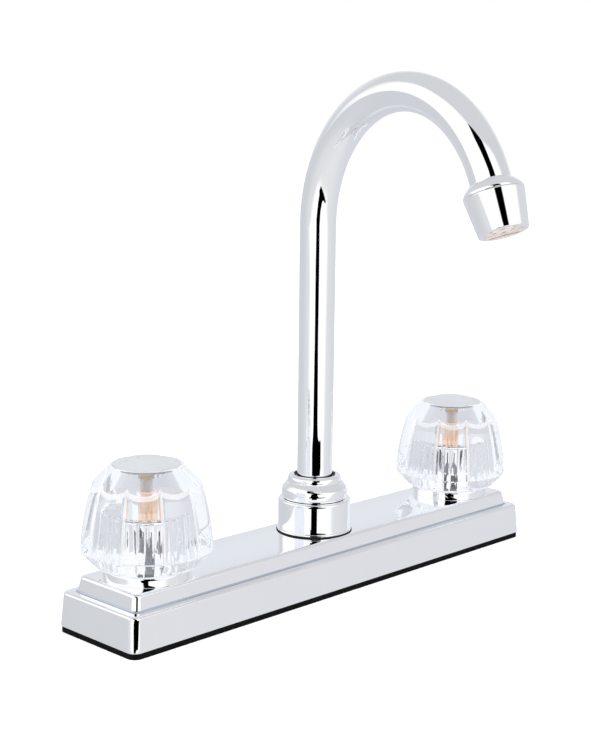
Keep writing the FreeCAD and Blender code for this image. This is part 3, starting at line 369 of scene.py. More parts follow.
def make_plate():
    outer, crease_row = plate_rows()
    points, faces = [], []

    def add(inset, level, corner):
        """Numbers of a new loop's points."""
        start = len(points)
        loop = rounded_loop(PLATE_LENGTH - 2 * inset, PLATE_WIDTH - 2 * inset, corner)
        points.extend((x, y, level) for x, y in loop)
        return list(range(start, len(points)))

    rows = [add(*row) for row in outer]
    for a, b in zip(rows, rows[1:]):
        bridge(faces, a, b)
    shelf = 15.3
    inner = [add(2.2, GASKET_TOP, 2.9), add(3.2, shelf, 2.9), add(7.6, shelf, 1.9),
             add(8.8, PLATE_CEILING, 1.9)]
    bridge(faces, inner[0], rows[0])
    for a, b in zip(inner, inner[1:]):
        bridge(faces, a, b, flip=True)
    circles = {}
    for level, rim in ((PLATE_TOP, rows[-1]), (PLATE_CEILING, inner[-1])):
        polylines = [[Vector(points[index]) for index in rim]]
        numbers = list(rim)
        for key, cx, radius in HOLES:
            start = len(points)
            ring = []
            for k in range(HOLE_STEPS):
                turn = -2 * math.pi * k / HOLE_STEPS
                ring.append((cx + radius * math.cos(turn), radius * math.sin(turn), level))
            points.extend(ring)
            circles.setdefault(key, []).append(list(range(start, len(points))))
            numbers += circles[key][-1]
            polylines.append([Vector(point) for point in ring])
        for triangle in tessellate_polygon(polylines):
            corners = tuple(numbers[index] for index in triangle)
            a, b, c = (Vector(points[index]) for index in corners)
            up = (b - a).cross(c - a).z > 0
            want_up = level == PLATE_TOP
            faces.append(corners if up == want_up else corners[::-1])
    for top, under in circles.values():
        bridge(faces, top, under, flip=True)
    plate = finish_mesh("deck_plate", points, faces, chrome, "base", ("escutcheon",),
                        angle=28)
    # The crease's rows take the darker chrome: painted shade
    plate.data.materials.append(crease_shade_chrome)
    around = len(rows[0])
    for face in plate.data.polygons[crease_row * around:(crease_row + CREASE_STEPS) * around]:
        face.material_index = 1


make_plate()


# Hub: sleeve, bead and dome of the nut, and the lip round the tube
def make_hub():
    bore, sleeve_radius, nut_foot = 12.9, 16.95, 33.0
    sleeve = [(bore, PLATE_TOP), (17.2, PLATE_TOP)] + arc(17.35, 24.75, 0.25, -90, 0, 3) + [(17.6, 25.3)]
    sleeve += arc(17.25, 25.6, 0.35, 0, 80, 4)
    sleeve += [(17.0, 26.0), (sleeve_radius, 26.6), (sleeve_radius, 27.2), (sleeve_radius, 38.3)]
    sleeve += arc(sleeve_radius - 1.0, 38.9, 1.0, 0, 75, 7)
    sleeve += [(15.2, 40.05), (14.5, 40.1), (14.3, 39.9), (14.3, nut_foot), (bore, nut_foot)]
    turned("hub_cover", sleeve, chrome, "base", ("hub_sleeve",), angle=40)
    band = arc(5.9, 42.9, 9.4, -16, 11, 9)
    collar = arc(8.3, 48.7, 4.2, -10, 24, 8) + arc(10.65, 49.7, 1.5, 32, 84, 5)
    nut = [(bore, nut_foot), (14.25, nut_foot), (14.25, 40.2)] + band + arc(13.8, 44.45, 1.35, 12, 40, 4)
    nut += [(14.2, 46.1), (13.4, 47.1), (12.7948, 47.5362)] + collar + [(10.1, 51.2), (9.9, 51.05)]
    nut += [(9.75, 50.4), (8.4, 50.4), (8.4, 40.0), (bore, 39.5)]
    turned("spout_cap_nut", nut, chrome, "base", ("spout_nut",), angle=40)
    # Thin black rubber rings at the sleeve's foot and at the lip round the tube; their dark lines also stand
    # in for the shade in these gaps: painted shade
    for label, radius, height, thick in (("foot", 17.4, 24.8, 0.42), ("lip", 9.1, 50.6, 0.4)):
        ring = arc(radius, height, thick, 0, 330, 11)
        turned(f"hub_dark_ring_{label}", ring, rubber, "base", angle=60)


make_hub()


# Gooseneck tube: straight riser and two bends, swept as one smooth skin
def spout_path():
    """Centre line of the tube as (forward, height, lean in degrees from upright)."""
    riser_steps, into_collar = 24, 2.0
    path = [(0.0, SPOUT_FOOT + (RISE_TOP - SPOUT_FOOT) * k / riser_steps, 0.0) for k in range(riser_steps)]
    for lean in np.linspace(0, 90, 61):
        turn = math.radians(lean)
        path.append((RISE_BEND * (1 - math.cos(turn)), RISE_TOP + RISE_BEND * math.sin(turn), lean))
    crown = RISE_TOP + RISE_BEND - FALL_BEND
    for fall in np.linspace(0, FALL_ANGLE, 45)[1:]:
        turn = math.radians(fall)
        path.append((RISE_BEND + FALL_BEND * math.sin(turn), crown + FALL_BEND * math.cos(turn), 90 + fall))
    forward, height, lean = path[-1]
    turn = math.radians(lean)
    path.append((forward + into_collar * math.sin(turn), height + into_collar * math.cos(turn), lean))
    return path


def make_spout_tube():
    segments = 96
    rows_out, rows_in = [], []
    points, faces = [], []
    swing = math.radians(SPOUT_SWING)
    for radius, rows in ((SPOUT_RADIUS, rows_out), (SPOUT_RADIUS - SPOUT_WALL, rows_in)):
        for forward, height, lean in spout_path():
            row = []
            bend = math.radians(lean)
            for k in range(segments):
                turn = 2 * math.pi * k / segments
                side = radius * math.cos(turn)
                out = radius * math.sin(turn)
                y = -forward + out * math.cos(bend)
                z = height + out * math.sin(bend)
                row.append(len(points))
                points.append((side * math.cos(swing) - y * math.sin(swing),
                               side * math.sin(swing) + y * math.cos(swing), z))
            rows.append(row)
    for a, b in zip(rows_out, rows_out[1:]):
        bridge(faces, a, b)
    for a, b in zip(rows_in, rows_in[1:]):
        bridge(faces, a, b, flip=True)
    bridge(faces, rows_in[0], rows_out[0])
    bridge(faces, rows_out[-1], rows_in[-1])
    finish_mesh("gooseneck", points, faces, chrome, "spout", ("spout_tube",), angle=50)


make_spout_tube()


# Outlet: dome collar and tapered housing, drawn on Z below the end of the bend
def outlet_matrix():
    """Where the end of the bend lies and leans."""
    fall = math.radians(FALL_ANGLE)
    tip = Vector((0, -RISE_BEND - FALL_BEND * math.sin(fall),
                  RISE_TOP + RISE_BEND - FALL_BEND * (1 - math.cos(fall))))
    swing = Matrix.Rotation(math.radians(SPOUT_SWING), 4, "Z")
    return swing @ Matrix.Translation(tip) @ Matrix.Rotation(math.radians(FALL_ANGLE - 90), 4, "X")


def make_outlet():
    place = outlet_matrix()
    seam, thread_radius, dome_radius, dome_start = -5.8, 9.7, 11.23, 30
    dome = [(SPOUT_RADIUS, -10.2), (thread_radius, -10.2), (thread_radius, seam), (12.0, seam), (12.25, -5.6)]
    shoulder = arc(10.95, -5.2, 1.3, 0, dome_start, 5)
    turn = math.radians(dome_start)
    centre_radius = shoulder[-1][0] - dome_radius * math.cos(turn)
    centre_height = shoulder[-1][1] - dome_radius * math.sin(turn)
    dome += shoulder + arc(centre_radius, centre_height, dome_radius, dome_start, 58.3, 10)[1:]
    turned("outlet_dome", dome, chrome, "spout", ("outlet_collar",), matrix=place, angle=40)
    housing = [(8.1, -21.5), (9.6, -21.5)] + arc(9.75, -21.15, 0.35, -90, 0, 4)
    housing += [(12.2, -6.25), (12.05, -5.9)]
    housing += [(thread_radius, seam), (thread_radius, -11.6), (8.9, -11.6), (8.9, -20.1), (8.1, -20.1)]
    turned("aerator_shell", housing, chrome, "spout", ("aerator_housing",),
           matrix=place, angle=30)


make_outlet()


# Bonnet under each knob: a flange on the plate and a sleeve with fine flutes for gripping it
FLUTES = 36
FLUTE_DEPTH = 0.36


def make_bonnet(hand, side):
    columns = FLUTES * 8
    sleeve_radius = 13.7
    sleeve = [(33.5, 0.0), (35.5, 0.15), (38.0, 0.35), (40.0, 0.7), (42.0, 1.0), (46.0, 1.0), (49.4, 1.0),
              (49.8, 0.8)]
    # Each point is (radius, height, share of the flutes' depth)
    profile = [(12.0, PLATE_TOP, 0.0), (18.9, PLATE_TOP, 0.0), (19.1, 24.7, 0.0), (19.1, 27.3, 0.0)]
    profile += [(radius, height, 0.0) for radius, height in arc(17.6, 27.7, 1.5, 0, 90, 9)]
    profile += [(17.0, 29.2, 0.0)]
    for angle in range(0, 91, 10):
        turn = math.radians(angle)
        profile.append((16.6 - 2.9 * math.sin(turn), 32.5 - 3.3 * math.cos(turn), 0.0))
    profile += [(sleeve_radius, height, depth) for height, depth in sleeve]
    profile += [(radius, height, 0.0) for radius, height in arc(12.9, 49.7, 0.8, 20, 90, 4)]
    profile += [(9.7, 50.5, 0.0), (9.5, 50.3, 0.0), (9.5, 37.0, 0.0), (12.0, 37.0, 0.0)]
    points, faces, rows = [], [], []
    for radius, height, depth in profile:
        rows.append(list(range(len(points), len(points) + columns)))
        for k in range(columns):
            turn = 2 * math.pi * k / columns
            wave = 0.5 - 0.5 * math.cos(FLUTES * turn)
            reach = radius - FLUTE_DEPTH * depth * wave
            points.append((reach * math.cos(turn), reach * math.sin(turn), height))
    for index in range(len(rows)):
        bridge(faces, rows[index], rows[(index + 1) % len(rows)])
    finish_mesh(f"bonnet_cover_{hand}", points, faces, chrome, "base", (f"bonnet_{hand}",),
                angle=40, position=(side * VALVE_OFFSET, 0, 0))


for hand, side in SIDES:
    make_bonnet(hand, side)


# Valve body under each bonnet: a threaded inlet shank, a shoulder, and the chamber that holds the cartridge
BODY_COLUMNS = 96
THREAD_PITCH = 1.814
THREAD_CREST = 10.45
THREAD_DEPTH = 1.16
SHANK_END = -49.0
SHOULDER = 3.0
RELIEF = (-34.0, -32.0)
RELIEF_RADIUS = 9.25
SUPPLY_RADIUS = 6.0
SHELL_RADIUS = 9.5
BODY_RADIUS = 13.2
GALLERY_RADIUS = 11.2
GALLERY = (7.0, 17.0)
PORT_RADIUS = 4.8
PORT_HALF_COLUMNS = 7


def thread_rows(low, high):
    """Rows of (height, radius), one turn long each, of a thread that runs out at both of its ends."""
    tooth = ((0.0, 0.0), (0.12, 0.0), (0.44, 1.0), (0.62, 1.0), (0.94, 0.0))
    run_out = 0.8 * THREAD_PITCH
    turns = int((high - low) / THREAD_PITCH) + 2
    rows = []
    for turn in range(-1, turns):
        for part, depth in tooth:
            row = []
            for column in range(BODY_COLUMNS + 1):
                height = low + THREAD_PITCH * (turn + part + column / BODY_COLUMNS)
                near = min(height - low, high - height)
                fade = min(1.0, max(0.0, near / run_out))
                radius = THREAD_CREST - THREAD_DEPTH * (depth * fade + 1 - fade)
                row.append((min(max(height, low), high), radius))
            rows.append(row)
    return rows


def make_valve_body(hand, side):
    points, faces = [], []
    lookup = {}

    def point(radius, turn, height):
        """Number of a point, shared where two rows meet."""
        place = (round(radius * math.cos(turn), 5), round(radius * math.sin(turn), 5), round(height, 5))
        if place not in lookup:
            lookup[place] = len(points)
            points.append(place)
        return lookup[place]

    def quad(*corners):
        """A face without its doubled corners."""
        kept = [corner for index, corner in enumerate(corners) if corner != corners[index - 1]]
        if len(set(kept)) > 2:
            faces.append(tuple(kept))

    columns = BODY_COLUMNS
    steps = [2 * math.pi * k / columns for k in range(columns)]

    def ring(radius, height):
        return [point(radius, turn, height) for turn in steps]

    def skin(rings):
        for a, b in zip(rings, rings[1:]):
            for k in range(columns):
                n = (k + 1) % columns
                quad(a[k], a[n], b[n], b[k])

    def thread(low, high):
        marks = [[point(radius, steps[k % columns], height) for k, (height, radius) in enumerate(row)]
                 for row in thread_rows(low, high)]
        for a, b in zip(marks, marks[1:]):
            for k in range(columns):
                quad(a[k], a[k + 1], b[k + 1], b[k])

    root = THREAD_CREST - THREAD_DEPTH
    bevel = -49.7
    skin([ring(SUPPLY_RADIUS, bevel), ring(6.3, -50.0), ring(8.6, -50.0), ring(root, SHANK_END)])
    thread(SHANK_END, RELIEF[0])
    skin([ring(root, RELIEF[0]), ring(RELIEF_RADIUS, RELIEF[0]), ring(RELIEF_RADIUS, RELIEF[1]),
          ring(root, RELIEF[1])])
    thread(RELIEF[1], SHOULDER)
    levels = 10
    heights = [GALLERY[0] + (GALLERY[1] - GALLERY[0]) * j / levels for j in range(levels + 1)]
    middle = (GALLERY[0] + GALLERY[1]) / 2
    port_turn = 0.0 if side < 0 else math.pi
    start = (0 if side < 0 else columns // 2) - PORT_HALF_COLUMNS
    inside = {(start + k) % columns for k in range(2 * PORT_HALF_COLUMNS)}
    mouths = []
    for radius, outward in ((BODY_RADIUS, True), (GALLERY_RADIUS, False)):
        rings = [ring(radius, height) for height in heights]
        for a, b in zip(rings, rings[1:]):
            for k in range(columns):
                n = (k + 1) % columns
                if k not in inside:
                    quad(*((a[k], a[n], b[n], b[k]) if outward else (b[k], b[n], a[n], a[k])))
        border = [(start + k, 0) for k in range(2 * PORT_HALF_COLUMNS)]
        border += [(start + 2 * PORT_HALF_COLUMNS, j) for j in range(levels)]
        border += [(start + 2 * PORT_HALF_COLUMNS - k, levels) for k in range(2 * PORT_HALF_COLUMNS)]
        border += [(start, levels - j) for j in range(levels)]
        frame_loop, mouth = [], []
        for column, row in border:
            frame_loop.append(rings[row][column % columns])
            across = radius * math.sin(2 * math.pi * column / columns - port_turn)
            lean = math.atan2(heights[row] - middle, across)
            aside = math.asin(PORT_RADIUS * math.cos(lean) / radius)
            mouth.append(point(radius, port_turn + aside, middle + PORT_RADIUS * math.sin(lean)))
        mouths.append(mouth)
        for k in range(len(border)):
            n = (k + 1) % len(border)
            corners = (frame_loop[k], frame_loop[n], mouth[n], mouth[k])
            quad(*(corners if outward else corners[::-1]))
    for k in range(len(mouths[0])):
        n = (k + 1) % len(mouths[0])
        quad(mouths[0][k], mouths[0][n], mouths[1][n], mouths[1][k])
    skin([ring(root, SHOULDER), ring(12.9, SHOULDER), ring(BODY_RADIUS, SHOULDER + 0.3),
          ring(BODY_RADIUS, GALLERY[0])])
    skin([ring(BODY_RADIUS, GALLERY[1]), ring(BODY_RADIUS, 22.1), ring(13.0, PLATE_CEILING),
          ring(12.0, PLATE_CEILING), ring(12.0, 33.8), ring(11.8, 34.0), ring(9.7, 34.0),
          ring(SHELL_RADIUS, 33.8), ring(SHELL_RADIUS, GALLERY[1]), ring(GALLERY_RADIUS, GALLERY[1])])
    skin([ring(GALLERY_RADIUS, GALLERY[0]), ring(SHELL_RADIUS, GALLERY[0]), ring(SHELL_RADIUS, 5.0),
          ring(SUPPLY_RADIUS, 5.0), ring(SUPPLY_RADIUS, bevel)])
    finish_mesh(f"valve_body_threaded_{hand}", points, faces, brass, "base", (f"valve_body_{hand}",),
                angle=30, position=(side * VALVE_OFFSET, 0, 0))


for hand, side in SIDES:
    make_valve_body(hand, side)


# Clear knob: ten convex lobes with fine grooves between them, a flat facet over each lobe,
# a tapered foot, and a ribbed hollow round the bonnet
KNOB_FOOT = 29.7
KNOB_PHASE = {"left": 10.8, "right": 4.3}
LOBES = 10
LOBE_COLUMNS = 24
LOBE_DEPTH = 0.5
GROOVE_DEPTH = 0.4
GROOVE_SHARE = 0.17
CROWN_FOOT = (23.3, 34.0)
CROWN_TOP = (15.4, 42.8)
FOOT_RADIUS = 22.3
TAPER_RADIUS = 26.4
TAPER_HEIGHT = 4.6
RIBS = 30
RIB_DEPTH = 0.35


def knob_wall(height):
    """Radius on a lobe's middle at a height above the knob's foot."""
    return 28.15 - 0.0151 * max(height - 6.0, 0.0) ** 1.732


def halve(test, low, high):
    """The height at which a test stops holding."""
    for _ in range(40):
        middle = (low + high) / 2
        if test(middle):
            low = middle
        else:
            high = middle
    return low


def knob_profile(across, rib):
    """Closed (radius, height) points at a place from -1 to 1 across a lobe, with the hollow's rib there."""
    slope = (CROWN_TOP[1] - CROWN_FOOT[1]) / (CROWN_FOOT[0] - CROWN_TOP[0])
    aside = math.cos(across * math.pi / LOBES) ** 0.5
    dip = LOBE_DEPTH * across * across + GROOVE_DEPTH * max(0.0, 1 - (1 - abs(across)) / GROOVE_SHARE)

    def wall(height):
        return knob_wall(height) - dip

    def crown(height):
        """Radius of the flat crown facet at a height."""
        return (CROWN_FOOT[0] - (height - CROWN_FOOT[1]) / slope) / aside

    def taper(height):
        return FOOT_RADIUS + height * (TAPER_RADIUS - FOOT_RADIUS) / TAPER_HEIGHT - 0.6 * dip

    edge = halve(lambda height: crown(height) > wall(height), 25.0, 42.0)
    foot = halve(lambda height: taper(height) < wall(height), 0.0, 12.0)
    taper_heights = [0.4 + (foot - 0.8) * j / 3 for j in range(1, 4)]
    wall_heights = [foot + 0.3 + (edge - foot - 0.6) * j / 20 for j in range(21)]
    crown_foot, crown_top, rim = edge + 0.4, CROWN_TOP[1] - 0.25, CROWN_TOP[1]
    crown_heights = [crown_foot + (crown_top - crown_foot) * j / 5 for j in range(6)]
    profile = [(21.9, 0.0), (22.15, 0.1), (FOOT_RADIUS - 0.6 * dip, 0.4)]
    profile += [(taper(height), height) for height in taper_heights]
    profile += [(wall(height), height) for height in wall_heights]
    profile += [(min(wall(edge), crown(edge)) - 0.06, edge + 0.05)]
    profile += [(crown(height), height) for height in crown_heights]
    # Down through the cap's seat, the screw's hole and the stem's socket, and out through the ribbed hollow
    profile += [(crown(rim) - 0.2, rim), (14.9, rim), (14.6, 42.72), (14.5, 42.5), (14.5, 41.0), (5.0, 41.0)]
    profile += [(5.0, 34.8), (2.3, 34.8), (2.3, 27.3), (3.5, 27.3), (3.5, 22.3), (13.6, 22.3)]
    profile += [(14.0 + rib, 21.6), (14.3 + rib, 16.0), (14.8 + rib, 10.0), (15.6 + rib, 3.6)]
    return profile + [(17.3, 0.3), (17.7, 0.0)]


def make_knob(hand, side):
    columns = LOBES * LOBE_COLUMNS
    phase = math.radians(KNOB_PHASE[hand])
    points, faces, grid = [], [], []
    turns = [phase - math.pi / LOBES + 2 * math.pi * k / columns for k in range(columns)]
    for k in range(columns):
        across = (k % LOBE_COLUMNS) / LOBE_COLUMNS * 2 - 1
        grid.append(knob_profile(across, RIB_DEPTH * (0.5 + 0.5 * math.cos(RIBS * (turns[k] - phase)))))
    rows = len(grid[0])
    for j in range(rows):
        for k in range(columns):
            radius, height = grid[k][j]
            points.append((radius * math.cos(turns[k]), radius * math.sin(turns[k]), KNOB_FOOT + height))
    for j in range(rows):
        first = [j * columns + k for k in range(columns)]
        second = [((j + 1) % rows) * columns + k for k in range(columns)]
        bridge(faces, first, second)
    knob = finish_mesh(f"knob_lobed_{hand}", points, faces, acrylic, f"{hand}_handle",
                       (f"knob_{hand}",), angle=14, position=(side * VALVE_OFFSET, 0, 0))
    knob.data.materials.append(acrylic_edge)
    knob.data.materials.append(acrylic_bore)
    # Whiter, softly frosted strips on the grooves, the crown's edge and its rim, which also stand in for
    # these edges' highlights as painted highlight; and the softly frosted wall of the screw's hole
    foot_row, edge_row, rim_row, screw_rows = 6, 26, 33, (40, 41)
    for face in knob.data.polygons:
        row, column = divmod(face.index, columns)
        crease = column % LOBE_COLUMNS in (0, LOBE_COLUMNS - 1) and foot_row <= row < edge_row
        if crease or row in (edge_row - 1, edge_row, edge_row + 1, rim_row):
            face.material_index = 1
        elif row in screw_rows:
            face.material_index = 2


def make_cap(hand, side):
    rise, radius, steps = 2.9, 14.3, 12
    curve = (radius * radius + rise * rise) / (2 * rise)
    top = 72.5 + rise
    profile = [(4.05, 67.7), (4.95, 67.7), (4.95, 70.72), (14.2, 70.72), (14.45, 70.9), (14.45, 72.2),
               (14.4, 72.45)]
    half = math.asin(radius / curve)
    for j in range(steps + 1):
        turn = half * (1 - j / steps)
        profile.append((curve * math.sin(turn), top - curve + curve * math.cos(turn)))
    profile += [(0.0, 71.6), (4.05, 71.6)]
    turned(f"cap_dome_{hand}", profile, cap_plastic, f"{hand}_handle", (f"index_cap_{hand}",),
           position=(side * VALVE_OFFSET, 0, 0), angle=40)


for hand, side in SIDES:
    make_knob(hand, side)
    make_cap(hand, side)

# CAD nodes that stay, each with its own finish
LOOKS = {
    "deck_gasket": foam, "spout_boss": brass, "cross_tube": brass, "cartridge_shell": white_plastic,
    "seat_seal": rubber, "fixed_disc": ceramic, "deck_washer": steel, "lock_nut": brass,
    "moving_disc": ceramic, "stem": stem_brass, "stem_ring": rubber, "handle_screw": screw_brass,
    "spout_collar": brass, "spout_rings": rubber, "swivel_washer": white_plastic,
    "aerator_washer": rubber, "aerator_screen": steel, "aerator_insert": cream_plastic,
}
for name, item in nodes.items():
    plain = name.replace("_left", "").replace("_right", "")
    if plain in LOOKS:
        for holder in item.material_slots:
            holder.material = LOOKS[plain]


# Studio: a pale floor, a wide soft light and surroundings that the chrome mirrors.
# Its directions are in degrees: elevation, and azimuth from the camera's, positive to the picture's right.
WHITE_LEFT = [(-40, -25), (-25, -42), (-6, -50), (-2, -75), (3, -112), (12, -122), (30, -120), (42, -110),
              (56, -75), (66, -30)]
WHITE_RIGHT = [(-40, 35), (-25, 50), (-4, 66), (20, 92), (36, 70), (46, 66), (56, 50), (66, 10)]
SLIT_MIDDLE = [(8, 8), (20, 9), (35, 7), (48, -10), (61, -16)]
SLIT_HALF = [(8, 0), (12, 12), (20, 14), (35, 19), (48, 25), (60, 24), (64, 0)]
LOW_SLIT_HALF = 9.5
SURROUNDINGS = [
    (0.0, (0.66, 0.68, 0.72)), (0.12, (0.66, 0.68, 0.72)), (0.2, (0.66, 0.68, 0.71)),
    (0.26, (0.69, 0.71, 0.74)), (0.31, (0.77, 0.78, 0.80)), (0.5, (0.84, 0.84, 0.85)),
    (0.66, (0.82, 0.82, 0.84)), (0.75, (0.77, 0.78, 0.81)), (0.86, (0.72, 0.74, 0.78)),
    (0.94, (0.70, 0.72, 0.76)), (1.0, (0.66, 0.68, 0.72)),
]


def make_world():
    world = bpy.data.worlds.new("studio")
    bpy.context.scene.world = world
    world.use_nodes = True
    tree = world.node_tree
    tree.nodes.clear()
    link = tree.links.new
    place = tree.nodes.new("ShaderNodeTexCoord")
    turn = node(tree, "ShaderNodeVectorRotate", rotation_type="Z_AXIS", in_Angle=-CAMERA_AZIMUTH)
    link(place.outputs["Generated"], turn.inputs["Vector"])
    parts = tree.nodes.new("ShaderNodeSeparateXYZ")
    link(turn.outputs["Vector"], parts.inputs["Vector"])

    def math_node(operation, first, second=None, third=None):
        """Result of a Math node over numbers or sockets."""
        made = node(tree, "ShaderNodeMath", operation=operation)
        for index, value in enumerate((first, second, third)):
            if value is None:
                continue
            if isinstance(value, (int, float)):
                made.inputs[index].default_value = value
            else:
                link(value, made.inputs[index])
        return made.outputs[0]

    azimuth = math_node("ARCTAN2", parts.outputs["Y"], parts.outputs["X"])
    azimuth = math_node("MULTIPLY", azimuth, 180 / math.pi)
    height = math_node("MULTIPLY", math_node("ARCSINE", parts.outputs["Z"]), 180 / math.pi)
    height_part = math_node("MULTIPLY_ADD", height, 1 / 180, 0.5)
    azimuth_part = math_node("MULTIPLY_ADD", azimuth, 1 / 360, 0.5)

    def by_height(stops, low, span):
        """A number that follows the elevation, from (degrees, number) stops."""
        shares = [((degrees + 90) / 180, (number - low) / span) for degrees, number in stops]
        made = ramp(tree, height_part, shares)
        return math_node("MULTIPLY_ADD", made.outputs["Color"], span, low)

    def step(value, low, high):
        """A soft step from 0 at one value to 1 at another."""
        made = node(tree, "ShaderNodeMapRange", interpolation_type="SMOOTHSTEP", in_1=low, in_2=high)
        link(value, made.inputs["Value"])
        return made.outputs["Result"]

    # A white wall in front, between two edges that follow the elevation
    left = by_height(WHITE_LEFT, -130, 260)
    right = by_height(WHITE_RIGHT, -120, 240)
    white = math_node("MULTIPLY", step(math_node("SUBTRACT", azimuth, left), -8, 12),
                      step(math_node("SUBTRACT", right, azimuth), -8, 12))
    white = math_node("MULTIPLY", white, step(height, -40, -22))
    white = math_node("MULTIPLY", white, step(height, 66, 52))
    # Greys round about, another above them, and a paler wall behind the tap
    around = ramp(tree, azimuth_part, SURROUNDINGS)
    upper = node(tree, "ShaderNodeMix", data_type="RGBA")
    upper.inputs[7].default_value = (0.69, 0.695, 0.72, 1)
    link(around.outputs["Color"], upper.inputs[6])
    link(step(height, -2, 30), upper.inputs[0])
    behind = node(tree, "ShaderNodeMix", data_type="RGBA")
    behind.inputs[7].default_value = (0.79, 0.82, 0.86, 1)
    link(upper.outputs[2], behind.inputs[6])
    far = math_node("MULTIPLY", step(math_node("ABSOLUTE", azimuth), 125, 160), step(height, 1, 8))
    link(math_node("MULTIPLY", far, step(height, 34, 20)), behind.inputs[0])
    lit = node(tree, "ShaderNodeMix", data_type="RGBA")
    lit.inputs[7].default_value = (1.14, 1.14, 1.14, 1)
    link(behind.outputs[2], lit.inputs[6])
    link(white, lit.inputs[0])
    # The dark opening between the lamps, and its foot
    middle = by_height(SLIT_MIDDLE, -120, 240)
    half = by_height(SLIT_HALF, -120, 240)
    across = math_node("SUBTRACT", math_node("ABSOLUTE", math_node("SUBTRACT", azimuth, middle)), half)
    slit = math_node("MULTIPLY", step(across, 2.5, -2.5), step(height, 9, 13))
    slit = math_node("MULTIPLY", slit, step(height, 65, 60))
    foot = step(math_node("SUBTRACT", math_node("ABSOLUTE", azimuth), LOW_SLIT_HALF), 1.5, -1.5)
    foot = math_node("MULTIPLY", foot, math_node("MULTIPLY", step(height, -25, -23), step(height, -6, -8)))
    slit = math_node("MAXIMUM", slit, foot)
    dark = node(tree, "ShaderNodeMix", data_type="RGBA")
    dark.inputs[7].default_value = (0, 0, 0, 1)
    link(lit.outputs[2], dark.inputs[6])
    link(slit, dark.inputs[0])
    mirrored = node(tree, "ShaderNodeBackground", in_Strength=1.0)
    link(dark.outputs[2], mirrored.inputs["Color"])
    plain = node(tree, "ShaderNodeBackground", in_Color=(1, 1, 1, 1), in_Strength=1.0)
    path = tree.nodes.new("ShaderNodeLightPath")
    first = tree.nodes.new("ShaderNodeMixShader")
    link(path.outputs["Is Camera Ray"], first.inputs[0])
    link(mirrored.outputs[0], first.inputs[1])
    link(plain.outputs[0], first.inputs[2])
    out = tree.nodes.new("ShaderNodeOutputWorld")
    link(first.outputs[0], out.inputs["Surface"])


make_world()


# The light tent's opening: its distance, and its (height, left, right) reach in millimetres
CARD_DISTANCE = 400.0
CARD_OUTLINE = [
    (168, 84, 84), (150, 73, 73), (133, 73, 73), (107, 81, 81), (82, 79, 79), (50, 76, 76), (38, 84, 84),
    (10, 90, 95), (-10, 92, 101), (-20, 106, 122), (-28, 130, 174), (-36, 138, 262), (-44, 132, 300),
    (-66, 120, 310),
]


def make_card():
    """Dark opening of the light tent, straight in front of the tap, seen only in its reflections."""
    outward = Vector((math.cos(CAMERA_AZIMUTH), math.sin(CAMERA_AZIMUTH), 0))
    sideways = Vector((-outward.y, outward.x, 0))
    points = []
    for height, left, right in CARD_OUTLINE:
        centre = outward * CARD_DISTANCE + Vector((0, 0, height))
        points.append(centre - sideways * left)
        points.append(centre + sideways * right)
    faces = [(2 * k, 2 * k + 1, 2 * k + 3, 2 * k + 2) for k in range(len(CARD_OUTLINE) - 1)]
    mesh = bpy.data.meshes.new("tent_opening")
    mesh.from_pydata([tuple(point * MM) for point in points], [], faces)
    look = material("tent_opening", (0, 0, 0), Roughness=1.0)
    shader = look.node_tree.nodes["Principled BSDF"]
    shader.inputs["Specular IOR Level"].default_value = 0
    shader.inputs["Emission Color"].default_value = (0.92, 0.94, 1, 1)
    path = look.node_tree.nodes.new("ShaderNodeLightPath")
    lift = node(look.node_tree, "ShaderNodeMath", operation="MULTIPLY", in_1=0.24)
    look.node_tree.links.new(path.outputs["Is Transmission Ray"], lift.inputs[0])
    look.node_tree.links.new(lift.outputs[0], shader.inputs["Emission Strength"])
    mesh.materials.append(look)
    card = bpy.data.objects.new("tent_opening", mesh)
    bpy.context.scene.collection.objects.link(card)
    card.visible_camera = False
    card.visible_diffuse = False
    card.visible_shadow = False


make_card()


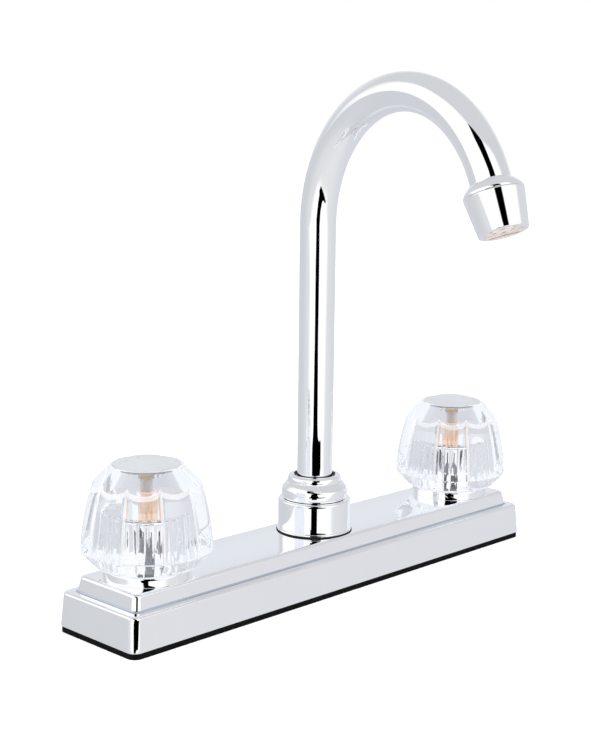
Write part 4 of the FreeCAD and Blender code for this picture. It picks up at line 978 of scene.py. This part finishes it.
def make_floor():
    mesh = bpy.data.meshes.new("floor")
    half = 6.0
    corners = [(-half, -half, 0), (half, -half, 0), (half, half, 0), (-half, half, 0)]
    mesh.from_pydata(corners, [], [(0, 1, 2, 3)])
    look = material("pale_floor", (0.94, 0.94, 0.945), Roughness=1.0)
    tree = look.node_tree
    path = tree.nodes.new("ShaderNodeLightPath")
    lift = node(tree, "ShaderNodeMath", operation="MULTIPLY", in_1=0.34)
    shader = tree.nodes["Principled BSDF"]
    shader.inputs["Specular IOR Level"].default_value = 0
    shader.inputs["Emission Color"].default_value = (1, 1, 1, 1)
    tree.links.new(path.outputs["Is Camera Ray"], lift.inputs[0])
    tree.links.new(lift.outputs[0], shader.inputs["Emission Strength"])
    mesh.materials.append(look)
    floor = bpy.data.objects.new("floor", mesh)
    bpy.context.scene.collection.objects.link(floor)
    floor.visible_glossy = False
    floor.visible_transmission = False


make_floor()


def make_light(name, position, size, power):
    light = bpy.data.lights.new(name, "AREA")
    light.shape = "DISK"
    light.size = size
    light.energy = power
    item = bpy.data.objects.new(name, light)
    item.location = position
    item.rotation_mode = "QUATERNION"
    item.rotation_quaternion = (Vector((0, 0, 0.1)) - Vector(position)).to_track_quat("-Z", "Y")
    item.visible_glossy = False
    item.visible_camera = False
    bpy.context.scene.collection.objects.link(item)


make_light("overhead", (-0.4, -0.5, 2.2), 2.4, 26)


def make_camera():
    yaw, pitch, roll = (math.radians(angle) for angle in (CAMERA_YAW, CAMERA_PITCH, CAMERA_ROLL))
    level = Vector((math.sin(yaw), math.cos(yaw), 0))
    right = Vector((math.cos(yaw), -math.sin(yaw), 0))
    ahead = level * math.cos(pitch) - Vector((0, 0, math.sin(pitch)))
    up = right.cross(ahead)
    turned_right = right * math.cos(roll) + up * math.sin(roll)
    turned_up = up * math.cos(roll) - right * math.sin(roll)
    data = bpy.data.cameras.new("camera")
    data.sensor_width = SENSOR
    data.lens = FOCAL_PIXELS / PHOTO_HEIGHT * SENSOR
    data.clip_start = 0.01
    data.clip_end = 50
    camera = bpy.data.objects.new("camera", data)
    bpy.context.scene.collection.objects.link(camera)
    basis = Matrix((turned_right, turned_up, -ahead)).transposed().to_4x4()
    camera.matrix_world = Matrix.Translation(Vector(CAMERA_POSITION) * MM) @ basis
    bpy.context.scene.camera = camera


make_camera()
bpy.context.scene.view_settings.view_transform = "Standard"
